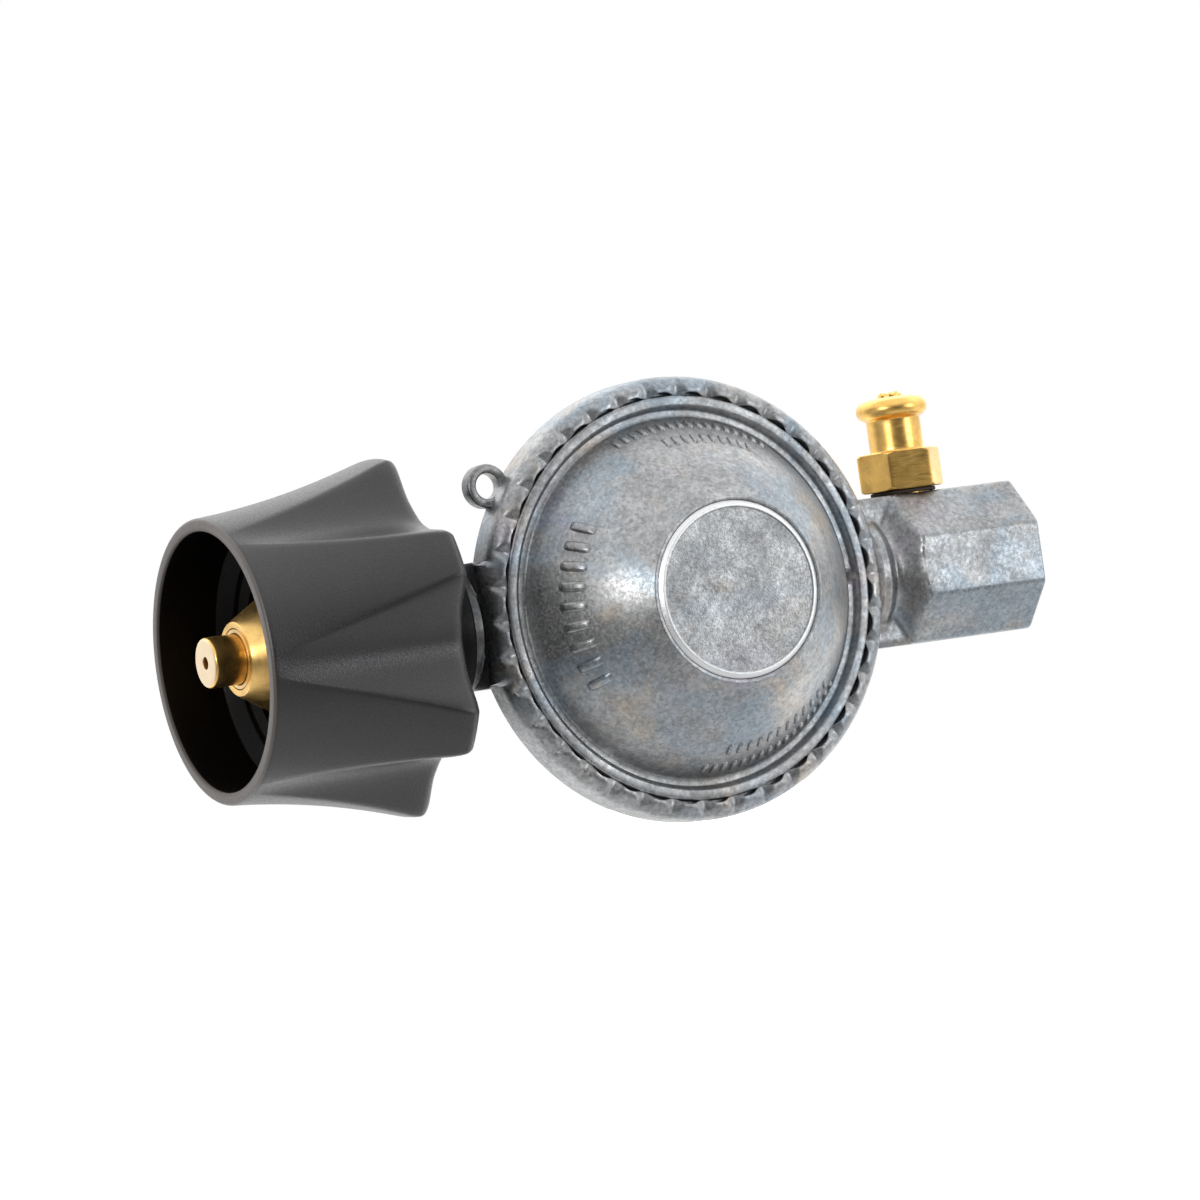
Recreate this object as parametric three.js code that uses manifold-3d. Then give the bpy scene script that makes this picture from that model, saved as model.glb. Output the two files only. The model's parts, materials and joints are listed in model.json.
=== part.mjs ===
// Low pressure gas regulator with a hand wheel inlet, a female outlet and a test nipple.
// Millimetres. +X runs from inlet to outlet, -Y is the cover side, +Z is the test nipple side.
// The origin is where the nose seats in the cylinder valve, on the inlet axis.
import * as THREE from "three";
import { mergeVertices } from "three/addons/utils/BufferGeometryUtils.js";
import Module from "manifold-3d";

const wasm = await Module();
wasm.setup();

// ---------- driving dimensions ----------

const rimRadius = 35; // body about the diaphragm axis
const bossStand = 10.8; // inlet boss, from the rim to its face
const bossRadius = 10.2; // inlet boss about the inlet axis
const noseStand = 27.5; // nose face to the boss face
const octagonFlats = 24; // outlet boss
const adjusterRadius = 12.1;

const fineSides = 64; // sides of the large round pieces
const roundSides = 32;
const smallSides = 20;
const seatGap = 0.1; // between faces that rest on each other
const fitGap = 0.1; // radial, pressed or screwed in
const runGap = 0.4; // radial, where a part turns or slides
const cutOver = 2; // how far a cutter passes the face it opens
const bossFace = -(rimRadius + bossStand);
const noseReach = noseStand - bossFace; // nose face to the diaphragm axis
const edge = 0.5; // chamfer of a turned edge
const smallEdge = 0.3;

// diaphragm housing, about the diaphragm axis
const rimBack = -5.3;
const rimShoulder = -9.5; // where the rolled edge starts
const lipRadius = rimRadius - 2.5; // inner edge of the rolled edge
const lipFront = -12.3;
const lipThickness = 1.2;
const rollRise = 1.4; // height of the rolled edge's steep part
const bowlBack = 11.5;
const bowlBackRadius = 13;
const bowlBulge = 3;
const chamberRadius = rimRadius - 5.7;
const chamberFloor = 6.6;
const chamberBulge = 2;
const diaphragmSeat = -7.6; // face of the body that the diaphragm is clamped on
const rubberThickness = 0.9;

// cover
const flangeRadius = lipRadius + 0.6;
const flangeThickness = 1.9;
const bandOuter = lipRadius - 0.7;
const bandInner = bandOuter - 1.7;
const bandFront = -12;
const recessRadius = lipRadius - 3.2;
const collarRadius = adjusterRadius + 1.85;
const domeFoot = new THREE.Vector2(lipRadius - 4, -11);
const domeTop = new THREE.Vector2(collarRadius + 0.55, -28.1);
const domeBulge = 1.3; // how far the dome's side stands out from a straight cone
const coverWall = 2;
const capSeat = domeTop.y + 1.8;
const capFront = domeTop.y - 0.6;
const capFaceRadius = collarRadius - 1.2;
const capBevel = 0.8;
const ventWidth = 2.4;
const ventDepth = 1;

// adjuster and main spring
const adjusterWall = 1.3;
const adjusterEnd = 1.8; // thickness of its closed end
const adjusterLength = 8.6;
const hexKeyAcross = 8; // flats of the key socket
const springWire = 1.4;
const springRadius = adjusterRadius - adjusterWall - springWire; // mean
const springTurns = 4;

// diaphragm plate, relief stem, retainer and spring
const plateRadius = chamberRadius - 9.3;
const plateThickness = 0.9;
const plateFlare = 0.6; // how far the plate's rim opens toward the cover
const ribGap = 0.6; // ring that keeps the spring central
const ribWidth = 1;
const foldRise = 2; // height of the diaphragm's roll
const stemRadius = 1.3;
const stemTop = -16.6;
const stemFlange = 1; // of the shoulder that seals on the rubber
const hookNeck = 1;
const hookHead = 2.2;
const hookPlane = -3.6; // height of the lever's end in the hook
const hookThickness = 1;
const retainerRadius = 5.4;
const retainerThickness = 1;
const retainerSet = 0.6; // below the stem's end
const reliefRadius = 3.9;
const reliefWire = 0.8;
const reliefTurns = 5;

// lever, its pin and clamps
const pinX = -10.5;
const pinY = 4.1;
const pinRadius = 0.95;
const pinLength = 13;
const leverWidth = 6;
const leverThickness = 1.5;
const leverRun = 0.1; // radial clearance on the pin
const knuckleWall = 1.1;
const forkLength = 2.8;
const seatRadius = 2.5;
const seatThickness = 1.6;
const seatTravelGap = 0.9; // seat to jet with the valve open
const postZ = 5.2;
const postRadius = 1.7;
const postFront = 2.2; // how far the posts run past the pin, to the inlet and to the outlet
const postLength = 5;
const clampX = pinX + 3.2; // clamp screws
const clampScrewRadius = 0.8;
const clampHeadRadius = 1.4;
const clampHeadHeight = 0.9;
const clampThickness = 0.8;
const clampHalf = 1.3;
const clampEnds = [pinX - 1.6, pinX + 4.8];
const clampSlot = 0.5;

// inlet line, about the inlet axis
const bossEdge = 0.6;
const bossRoot = -20; // where the boss ends inside the body
const padHalf = 10;
const padFace = -(rimRadius + 0.4);
const portRadius = 6.6;
const passageRadius = 3;
const spigotRadius = 5.5;
const spigotFace = -14;
const jetFace = -13.4;
const jetRadius = 3.4;
const jetNose = 1.6;
const jetHole = 0.9;
const jetLength = 8.6;
const portFloor = Math.min(bossFace + 18.8, jetFace - jetLength - 5); // clear of the diaphragm and the jet
const filterThickness = 1.4;
const filterHole = 0.5;
const filterHoles = 6;
const filterCircle = 1.8;

// brass nose, probe and ring
const noseFaceRadius = 5.75;
const noseAngle = THREE.MathUtils.degToRad(30.7); // half angle of the cone
const noseRadius = 9.2;
const noseCylinder = 3.7;
const shankRadius = 8;
const shankStep = 0.2; // the shank is thicker behind the collar
const collarThickness = 2.5;
const nippleCollar = 12;
const nippleBore = 4.8;
const nippleBoreDepth = 9.5;
const gasBore = 2.4;
const ringInner = 4.05;
const ringLength = 3;
const probeRadius = 3.92;
const probeReach = 5.2; // how far it stands out of the nose
const probeHole = 1;
const probeHoleDepth = 2;
const probeBore = 2.6;
const ballRadius = 2;
const flowSpringRadius = 1.5;
const flowSpringWire = 0.5;
const flowSpringTurns = 4;

// hand wheel and thermal bush
const wheelMouth = -(noseReach + 4);
const wheelEnd = bossFace + 1.2;
const wheelMouthRadius = 22.2;
const wheelFlare = 0.0655; // first and second order growth of the crests
const wheelFlareSquare = 0.00418;
const wheelSkirtRadius = 20.2;
const wheelThreadRadius = 15.4;
const wheelThreadStart = wheelMouth + 12.7;
const wheelLeadIn = 1.6; // chamfer between the skirt and the thread
const wheelWebFace = wheelEnd - 3.7;
const wheelEdge = 1.8; // rounding of the end
const hubWall = 2.4;
const hubRadius = bossRadius + runGap + hubWall; // sleeve behind the wheel, over the inlet boss
const lobeCount = 6;
const wheelCrestMost = 28; // the crests grow no further than this
const lobePhase = THREE.MathUtils.degToRad(24); // turn of the first lobe from the cover side
const scoopMouthHalf = THREE.MathUtils.degToRad(4.1); // half angle of a scoop at the mouth
const scoopEndHalf = THREE.MathUtils.degToRad(22.5); // and at the end
const scoopBow = THREE.MathUtils.degToRad(1); // how far its edges bow out between the two
const scoopFloor = 21.4; // radius of a scoop's floor at the end
const scoopSteps = 6;
const crestSteps = 5;
const bushTravel = 2.4; // how far the wheel and bush slide toward the body
const hubEnd = padFace - bushTravel - 2 * seatGap;
const bushRadius = wheelThreadRadius - 1;
const bushThickness = 2.4;
const bushBack = wheelWebFace - seatGap;
const collarBack = bushBack - bushThickness - 2 * seatGap;

// outlet and lug
const octagonHalf = octagonFlats / 2;
const octagonStart = rimRadius + 7.5;
const outletReach = octagonStart + 21.6; // diaphragm axis to the outlet's end face
const octagonBevel = 1.6;
const neckRadius = 9.6;
const neckWaist = 8; // of the round neck beside the octagon
const neckFront = -5;
const neckBack = octagonHalf - 4;
const neckRoot = 20; // where the neck ends inside the body
const socketRadius = 7.5; // threaded socket
const socketDepth = 12;
const socketChamfer = 1;
const outletPassage = 4.5;
const lugReach = rimRadius + 1.85; // diaphragm axis to the lug's eye
const lugAngle = Math.atan2(21.4, 30); // from the inlet axis
const lugX = -lugReach * Math.cos(lugAngle);
const lugZ = lugReach * Math.sin(lugAngle);
const lugRadius = 3.45;
const lugHole = 2;
const lugFront = -7.4;
const lugBack = -4.6;
const lugWeb = 6; // length of the web that joins the eye to the rim
const lugWebHalf = lugRadius - 0.9;

// test nipple on top of the outlet
const testX = octagonStart + 4.5;
const testHexFlats = 12;
const testHexTurn = THREE.MathUtils.degToRad(17);
const washerRadius = 5.3;
const washerThickness = 0.7;
const hexHeight = 6.2;
const stubRadius = 4.35;
const beadRadius = 5.75;
const beadHalf = 1.6;
const beadHeight = 13.9; // above the boss
const testStemRadius = 4.2;
const testStemLength = 5.4;
const testHole = 1;
const testBore = 2.1;
const testScrewDepth = 1.6; // the screw's foot above the hexagon
const testScrewProud = 0.9;
const testSlotHalf = 0.3;
const testLip = 0.3; // rise of the bead's top toward the bore

// ---------- solids ----------

// A closed three.js geometry as a manifold solid that faces out.
function solid(geometry) {
  const bare = geometry.index ? geometry.toNonIndexed() : geometry.clone();
  bare.deleteAttribute("normal");
  bare.deleteAttribute("uv");
  const merged = mergeVertices(bare, 1e-4);
  const position = merged.attributes.position.array;
  const corners = Uint32Array.from(merged.index.array);
  if (signedVolume(position, corners) < 0) corners.reverse();
  return new wasm.Manifold(
    new wasm.Mesh({ numProp: 3, vertProperties: position, triVerts: corners }),
  );
}

function signedVolume(position, corners) {
  const [a, b, c] = [new THREE.Vector3(), new THREE.Vector3(), new THREE.Vector3()];
  let sum = 0;
  for (let i = 0; i < corners.length; i += 3) {
    a.fromArray(position, corners[i] * 3);
    b.fromArray(position, corners[i + 1] * 3);
    c.fromArray(position, corners[i + 2] * 3);
    sum += a.dot(b.cross(c));
  }
  return sum;
}

// Revolves [radius, height] points about +Y, from axis to axis or as a closed ring.
function revolve(points, sides = roundSides) {
  const profile = points.map(([r, h]) => new THREE.Vector2(r, h));
  return solid(new THREE.LatheGeometry(profile, sides));
}

// A plain disc or rod between two heights on the Y axis.
function rod(radius, low, high, sides = roundSides) {
  return revolve([[0, low], [radius, low], [radius, high], [0, high]], sides);
}

function box(low, high) {
  const size = high.map((value, i) => value - low[i]);
  const geometry = new THREE.BoxGeometry(...size);
  geometry.translate(...high.map((value, i) => (value + low[i]) / 2));
  return solid(geometry);
}

// A prism of a regular polygon, its flats `across` apart, along +Y. The first corner is turned by `turn`.
function prism(sides, across, low, high, turn = 0) {
  const corner = across / 2 / Math.cos(Math.PI / sides);
  const geometry = new THREE.CylinderGeometry(corner, corner, high - low, sides);
  geometry.rotateY(turn);
  geometry.translate(0, (low + high) / 2, 0);
  return solid(geometry);
}

// Points of the arc from a to b that stands `bulge` to the right of the chord.
function arcPoints(a, b, bulge, steps) {
  const chord = b.clone().sub(a);
  const side = new THREE.Vector2(chord.y, -chord.x).normalize();
  const points = [];
  for (let i = 0; i <= steps; i++) {
    const t = i / steps;
    const rise = bulge * 4 * t * (1 - t);
    const p = a.clone().addScaledVector(chord, t).addScaledVector(side, rise);
    points.push([p.x, p.y]);
  }
  return points;
}

// A helical spring about +Y between two heights.
function helix(radius, wire, low, high, turns, stepsPerTurn) {
  class Coil extends THREE.Curve {
    getPoint(t, target = new THREE.Vector3()) {
      const angle = 2 * Math.PI * turns * t;
      const height = low + wire / 2 + (high - low - wire) * t;
      return target.set(radius * Math.cos(angle), height, radius * Math.sin(angle));
    }
  }
  const section = new THREE.Shape();
  section.absarc(0, 0, wire / 2, 0, 2 * Math.PI);
  const options = { steps: turns * stepsPerTurn, extrudePath: new Coil(), curveSegments: 3 };
  return solid(new THREE.ExtrudeGeometry(section, options));
}

// Turns a solid made about +Y to lie about +X or +Z.
const alongX = (made) => made.rotate([0, 0, -90]);
const alongZ = (made) => made.rotate([90, 0, 0]);

// ---------- materials ----------

const metal = (color, roughness) =>
  new THREE.MeshStandardMaterial({ color, roughness, metalness: 1 });
const plain = (color, roughness) =>
  new THREE.MeshStandardMaterial({ color, roughness, metalness: 0 });
const zinc = () => metal("#8d9096", 0.45);
const brass = () => metal("#c9973a", 0.3);
const steel = () => metal("#a5a8ad", 0.35);
const rubber = () => plain("#26262a", 0.8);

const regulator = new THREE.Group();
const housing = new THREE.Group(); // pieces about the diaphragm axis, and the body
const inletLine = new THREE.Group(); // pieces made about +Y and turned to lie about the inlet axis
const testPoint = new THREE.Group();
regulator.add(housing);
housing.position.x = noseReach;
housing.add(inletLine, testPoint);
inletLine.rotation.z = -Math.PI / 2;
testPoint.rotation.x = Math.PI / 2;
testPoint.position.set(testX, 0, octagonHalf);

function addPiece(name, made, material, group = housing) {
  const { numProp, vertProperties, triVerts } = made.getMesh();
  if (numProp !== 3) throw new Error(name + " carries more than positions");
  const geometry = new THREE.BufferGeometry();
  geometry.setAttribute("position", new THREE.BufferAttribute(vertProperties, 3));
  geometry.setIndex(new THREE.BufferAttribute(triVerts, 1));
  geometry.computeVertexNormals();
  const piece = new THREE.Mesh(geometry, material);
  piece.name = name;
  group.add(piece);
  return piece;
}

// ---------- body ----------

const lipUnder = lipFront + lipThickness; // inner face of the rolled edge
const pocketRadius = flangeRadius + runGap; // pocket that the flange and rubber lie in

function bodyShell() {
  const back = arcPoints(
    new THREE.Vector2(bowlBackRadius, bowlBack),
    new THREE.Vector2(rimRadius - 2, rimBack + 1.2),
    -bowlBulge,
    3,
  );
  return revolve(
    [
      [0, bowlBack],
      ...back,
      [rimRadius - edge, rimBack + smallEdge],
      [rimRadius, rimBack],
      [rimRadius, rimShoulder],
      [rimRadius - smallEdge, rimShoulder - rollRise],
      [rimRadius - rollRise, lipFront + smallEdge],
      [lipRadius + smallEdge, lipFront],
      [lipRadius, lipFront + smallEdge],
      [lipRadius, lipUnder],
      [0, lipUnder],
    ],
    fineSides,
  );
}

function chamberCutter() {
  const wall = arcPoints(
    new THREE.Vector2(bowlBackRadius, chamberFloor),
    new THREE.Vector2(chamberRadius, rimBack - edge),
    -chamberBulge,
    2,
  );
  return revolve(
    [
      [0, chamberFloor],
      ...wall,
      [chamberRadius, diaphragmSeat],
      [pocketRadius, diaphragmSeat],
      [pocketRadius, lipUnder],
      [lipRadius, lipUnder],
      [lipRadius, lipFront - cutOver],
      [0, lipFront - cutOver],
    ],
    fineSides,
  );
}

function inletBoss() {
  const barrel = alongX(
    revolve(
      [
        [0, bossFace],
        [bossRadius - bossEdge, bossFace],
        [bossRadius, bossFace + bossEdge],
        [bossRadius, bossRoot],
        [0, bossRoot],
      ],
    ),
  );
  const pad = box([padFace, rimShoulder, -padHalf], [-chamberRadius, chamberFloor - cutOver, padHalf]);
  return barrel.add(pad);
}

function outletBoss() {
  const half = octagonHalf;
  const past = half * 1.3; // clear of the octagon's corners
  const block = prism(8, octagonFlats, octagonStart, outletReach, Math.PI / 8);
  const bevelled = alongX(block).intersect(
    alongX(
      revolve([
        [0, octagonStart],
        [half - octagonBevel * 0.6, octagonStart],
        [past, octagonStart + octagonBevel * 1.6],
        [past, outletReach],
        [0, outletReach],
      ], fineSides),
    ),
  );
  const slab = box([chamberRadius, neckFront, -half], [octagonStart + cutOver, neckBack, half]);
  const neck = alongX(
    revolve([
      [0, neckRoot],
      [neckRadius, neckRoot],
      [neckRadius, rimRadius + 3],
      [neckWaist, rimRadius + 5],
      [neckWaist, octagonStart + cutOver],
      [0, octagonStart + cutOver],
    ]),
  );
  return wasm.Manifold.union([bevelled, slab, neck]);
}

function lug() {
  const eye = rod(lugRadius, lugFront, lugBack, smallSides).translate([lugX, 0, lugZ]);
  const toward = new THREE.Vector2(-lugX, -lugZ).normalize();
  const web = box([0, lugFront, -lugWebHalf], [lugWeb, lugBack, lugWebHalf]);
  const turn = THREE.MathUtils.radToDeg(Math.atan2(-toward.y, toward.x));
  const placed = web.rotate([0, turn, 0]).translate([lugX, 0, lugZ]);
  const hole = rod(lugHole, lugFront - cutOver, lugBack + cutOver, smallSides);
  return eye.add(placed).subtract(hole.translate([lugX, 0, lugZ]));
}

// The saddle on the chamber floor that carries the lever's pin, with two screw posts.
const saddleTop = pinY - pinRadius - leverRun;
const screwFoot = chamberFloor - clampThickness;

function saddle() {
  const posts = [-1, 1].map((side) =>
    box(
      [pinX - postFront, saddleTop + pinRadius, side * postZ - postRadius],
      [pinX + postLength, chamberFloor + 1, side * postZ + postRadius],
    ),
  );
  return wasm.Manifold.union(posts);
}

function makeBody() {
  const grown = wasm.Manifold.union([bodyShell(), inletBoss(), outletBoss()]);
  const chamber = chamberCutter();
  const spigot = alongX(rod(spigotRadius, -chamberRadius - cutOver, spigotFace, smallSides));
  const hollowed = grown.subtract(chamber).add(spigot).add(saddle()).add(lug());
  const bores = [
    alongX(rod(portRadius, bossFace - cutOver, portFloor, roundSides)),
    alongX(rod(passageRadius, portFloor - 1, jetFace - jetLength + 1, smallSides)),
    alongX(rod(jetRadius + fitGap, jetFace - jetLength - seatGap, spigotFace + cutOver, smallSides)),
    alongX(rod(outletPassage, chamberRadius - 8, outletReach - socketDepth + 1, smallSides)),
    alongX(
      revolve([
        [0, outletReach - socketDepth],
        [socketRadius, outletReach - socketDepth],
        [socketRadius, outletReach - socketChamfer],
        [socketRadius + socketChamfer + cutOver, outletReach + cutOver],
        [0, outletReach + cutOver],
      ]),
    ),
    alongZ(rod(testStemRadius + fitGap, 0, octagonHalf + cutOver, smallSides)).translate([testX, 0, 0]),
    rod(pinRadius + fitGap, -pinLength, pinLength, smallSides)
      .rotate([90, 0, 0])
      .translate([pinX, pinY, 0]),
    ...[-1, 1].map((side) =>
      rod(clampScrewRadius + fitGap, 0, screwFoot + runGap, smallSides)
        .translate([clampX, 0, side * postZ]),
    ),
  ];
  return hollowed.subtract(wasm.Manifold.union(bores));
}

addPiece("body", makeBody(), zinc());

// ---------- cover ----------

const flangeBack = diaphragmSeat - rubberThickness - 2 * seatGap;
const flangeFront = flangeBack - flangeThickness;

function makeCover() {
  const dome = arcPoints(domeFoot, domeTop, -domeBulge, 6);
  const inset = new THREE.Vector2(coverWall, 0);
  const neckOuter = adjusterRadius + fitGap + coverWall;
  const innerFoot = domeFoot.clone().sub(inset);
  const innerTop = new THREE.Vector2(neckOuter + 1, capSeat + 1.8 * coverWall);
  const inner = arcPoints(innerTop, innerFoot, domeBulge, 3);
  const shell = revolve(
    [
      [innerFoot.x, flangeBack],
      [flangeRadius, flangeBack],
      [flangeRadius, flangeFront],
      [bandOuter + smallEdge, flangeFront],
      [bandOuter, bandFront],
      [bandInner, bandFront],
      [recessRadius, domeFoot.y],
      ...dome,
      [collarRadius, domeTop.y],
      [collarRadius, capSeat],
      [adjusterRadius + fitGap, capSeat],
      [adjusterRadius + fitGap, capSeat + adjusterLength],
      [neckOuter, capSeat + adjusterLength],
      [neckOuter, innerTop.y],
      ...inner,
      [innerFoot.x, flangeBack],
    ],
    fineSides,
  );
  const vent = box(
    [domeFoot.x - coverWall - 1.2, domeFoot.y - ventDepth, -ventWidth / 2],
    [recessRadius + fitGap, domeFoot.y + ventDepth, ventWidth / 2],
  );
  return shell.subtract(vent);
}

addPiece("cover", makeCover(), zinc());

function makeCap() {
  const outer = collarRadius - 2.5 * fitGap;
  return revolve([
    [0, capSeat - seatGap],
    [outer, capSeat - seatGap],
    [outer, capFront + capBevel],
    [capFaceRadius, capFront],
    [0, capFront],
  ], fineSides);
}

addPiece("seal_cap", makeCap(), zinc());

// ---------- adjuster, springs and diaphragm stack ----------

const adjusterTop = capSeat + seatGap;
const adjusterRoof = adjusterTop + adjusterEnd;
const plateFront = diaphragmSeat - rubberThickness - seatGap * 2 - plateThickness;

function makeAdjuster() {
  const cup = revolve([
    [0, adjusterTop],
    [adjusterRadius, adjusterTop],
    [adjusterRadius, adjusterTop + adjusterLength - seatGap * 2],
    [adjusterRadius - adjusterWall, adjusterTop + adjusterLength - seatGap * 2],
    [adjusterRadius - adjusterWall, adjusterRoof],
    [0, adjusterRoof],
  ]);
  return cup.subtract(prism(6, hexKeyAcross, adjusterTop - cutOver, adjusterRoof + cutOver));
}

addPiece("adjuster", makeAdjuster(), plain("#d8d4c4", 0.5));

const mainSpring = helix(
  springRadius, springWire, adjusterRoof + seatGap, plateFront - seatGap, springTurns, 14,
);
addPiece("main_spring", mainSpring, steel());

function makeDiaphragm() {
  const front = diaphragmSeat - seatGap - rubberThickness;
  const back = diaphragmSeat - seatGap;
  const foldBack = back + foldRise;
  const foldFront = foldBack - rubberThickness;
  const bore = stemRadius + runGap / 2;
  return revolve(
    [
      [bore, front],
      [plateRadius + 1, front],
      [plateRadius + 2.4, foldFront],
      [chamberRadius - 4.2, foldFront],
      [chamberRadius - 1.8, front],
      [flangeRadius, front],
      [flangeRadius, back],
      [chamberRadius - 1.2, back],
      [chamberRadius - 3.6, foldBack],
      [plateRadius + 1.8, foldBack],
      [plateRadius + 0.4, back],
      [bore, back],
      [bore, front],
    ],
  );
}

addPiece("diaphragm", makeDiaphragm(), rubber());

function makePlate() {
  const bore = stemRadius + runGap / 2;
  const back = plateFront + plateThickness;
  const rib = springRadius + springWire / 2 + ribGap;
  return revolve([
    [bore, back],
    [plateRadius, back],
    [plateRadius + plateFlare, plateFront],
    [rib + ribWidth, plateFront],
    [rib + ribWidth - 2 * fitGap, plateFront - ribWidth],
    [rib, plateFront - ribWidth],
    [rib, plateFront],
    [bore, plateFront],
    [bore, back],
  ]);
}

addPiece("diaphragm_plate", makePlate(), steel());

function makeStem() {
  const shoulder = diaphragmSeat + seatGap; // seals on the rubber's lower face
  const hookFront = hookPlane + leverThickness + runGap;
  return revolve([
    [0, stemTop],
    [stemRadius, stemTop],
    [stemRadius, shoulder],
    [hookHead + stemFlange, shoulder],
    [hookHead + stemFlange, shoulder + stemFlange],
    [hookNeck, shoulder + stemFlange + smallEdge],
    [hookNeck, hookFront],
    [hookHead, hookFront],
    [hookHead, hookFront + hookThickness],
    [0, hookFront + hookThickness],
  ], smallSides);
}

addPiece("relief_stem", makeStem(), brass());

const retainerBack = stemTop + retainerThickness + retainerSet;
addPiece(
  "relief_retainer",
  revolve([
    [stemRadius + fitGap, retainerBack],
    [retainerRadius, retainerBack],
    [retainerRadius, retainerBack - retainerThickness],
    [stemRadius + fitGap, retainerBack - retainerThickness],
    [stemRadius + fitGap, retainerBack],
  ], smallSides),
  steel(),
);

addPiece(
  "relief_spring",
  helix(reliefRadius, reliefWire, retainerBack + seatGap, plateFront - seatGap, reliefTurns, 10),
  steel(),
);

// ---------- lever and valve ----------

const seatFace = jetFace + seatTravelGap;
const padBack = seatFace + seatThickness;

// Side view of the lever: a foot that holds the seat, a barrel on the pin and an arm to the hook.
function makeLever() {
  const footFace = padBack + seatGap;
  const footTop = -seatRadius - 1.4;
  const arm = hookPlane + leverThickness;
  const profile = [
    [footFace, -seatRadius - smallEdge],
    [footFace + leverThickness, -seatRadius - smallEdge],
    [footFace + leverThickness, runGap],
    [pinX + 2.1, 1.6],
    [-4.6, arm + runGap],
    [-3, arm],
    [forkLength, arm],
    [forkLength, hookPlane],
    [-3.6, hookPlane],
    [-6, hookPlane + 0.6],
    [pinX + 3.4, footTop],
    [footFace, footTop],
  ];
  const side = new THREE.Shape(profile.map(([x, y]) => new THREE.Vector2(x, y)));
  const blank = solid(new THREE.ExtrudeGeometry(side, { depth: leverWidth, bevelEnabled: false }));
  const knuckle = alongZ(rod(pinRadius + leverRun + knuckleWall, -leverWidth / 2, leverWidth / 2, smallSides));
  const strap = box([footFace, 0, -leverWidth / 2], [pinX + 2.1, pinY, leverWidth / 2]);
  const seatRoom = alongX(rod(seatRadius + runGap / 2, jetFace, footFace, smallSides));
  const pinHole = alongZ(rod(pinRadius + leverRun, -leverWidth, leverWidth, smallSides));
  const slot = box(
    [-hookNeck - runGap, hookPlane - cutOver, -hookNeck - runGap],
    [forkLength + cutOver, arm + cutOver, hookNeck + runGap],
  );
  return blank
    .translate([0, 0, -leverWidth / 2])
    .add(knuckle.translate([pinX, pinY, 0]))
    .add(strap)
    .subtract(pinHole.translate([pinX, pinY, 0]))
    .subtract(seatRoom)
    .subtract(slot);
}

addPiece("lever", makeLever(), steel());

addPiece(
  "valve_seat",
  alongX(rod(seatRadius, seatFace, padBack, smallSides)),
  rubber(),
);

addPiece(
  "lever_pin",
  alongZ(rod(pinRadius, -pinLength / 2, pinLength / 2, smallSides)).translate([pinX, pinY, 0]),
  steel(),
);

const clampBack = saddleTop + pinRadius - seatGap;
const clampFront = clampBack - clampThickness - pinRadius;
for (const [name, side] of [["a", -1], ["b", 1]]) {
  const z = side * postZ;
  const strap = box([clampEnds[0], clampFront, z - clampHalf], [clampEnds[1], clampBack, z + clampHalf]);
  const pinRoom = alongZ(rod(pinRadius + fitGap, -pinLength, pinLength, smallSides));
  const screwRoom = rod(clampScrewRadius + fitGap, -pinLength, pinLength, smallSides);
  const cleared = strap
    .subtract(pinRoom.translate([pinX, pinY, 0]))
    .subtract(screwRoom.translate([clampX, 0, z]));
  addPiece("pin_clamp_" + name, cleared, steel());
  const headBack = clampFront - seatGap;
  const screw = revolve([
    [0, headBack - clampHeadHeight],
    [clampHeadRadius - smallEdge, headBack - clampHeadHeight],
    [clampHeadRadius, headBack - edge],
    [clampHeadRadius, headBack],
    [clampScrewRadius, headBack],
    [clampScrewRadius, screwFoot],
    [0, screwFoot],
  ], smallSides);
  const slot = box(
    [-clampHeadRadius - cutOver, headBack - cutOver, -clampSlot / 2],
    [clampHeadRadius + cutOver, headBack - clampSlot, clampSlot / 2],
  );
  addPiece("clamp_screw_" + name, screw.subtract(slot).translate([clampX, 0, z]), steel());
}

addPiece(
  "orifice",
  revolve([
    [jetHole, jetFace - jetLength],
    [jetRadius, jetFace - jetLength],
    [jetRadius, spigotFace - 0.4],
    [jetNose + smallEdge, spigotFace - 0.4],
    [jetNose, jetFace],
    [jetHole, jetFace],
    [jetHole, jetFace - jetLength],
  ], smallSides),
  brass(),
  inletLine,
);

function makeFilter() {
  const low = portFloor - filterThickness;
  const disc = rod(portRadius - bossEdge, low, portFloor - seatGap, smallSides);
  const holes = [];
  for (let i = 0; i < filterHoles; i++) {
    const hole = rod(filterHole, low - cutOver, portFloor + cutOver, 8).translate([filterCircle, 0, 0]);
    holes.push(hole.rotate([0, (360 * i) / filterHoles, 0]));
  }
  return disc.subtract(wasm.Manifold.union(holes));
}

addPiece("inlet_filter", makeFilter(), brass(), inletLine);

// ---------- brass nipple, probe, ring, ball ----------

const noseFace = -noseReach;
const coneEnd = noseFace + (noseRadius - noseFaceRadius) / Math.tan(noseAngle);
const nippleThreadEnd = portFloor - filterThickness - seatGap;
const collarFront = collarBack - collarThickness;

addPiece(
  "inlet_nipple",
  revolve([
    [nippleBore, noseFace],
    [noseFaceRadius, noseFace],
    [noseRadius, coneEnd],
    [noseRadius, coneEnd + noseCylinder],
    [shankRadius, coneEnd + noseCylinder + 1],
    [shankRadius, collarFront],
    [nippleCollar, collarFront],
    [nippleCollar, collarBack],
    [shankRadius + shankStep, collarBack],
    [shankRadius + shankStep, bossFace - seatGap],
    [portRadius - fitGap, bossFace - seatGap],
    [portRadius - fitGap, nippleThreadEnd],
    [gasBore, nippleThreadEnd],
    [gasBore, noseFace + nippleBoreDepth],
    [nippleBore, noseFace + nippleBoreDepth],
    [nippleBore, noseFace],
  ]),
  brass(),
  inletLine,
);

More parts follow.
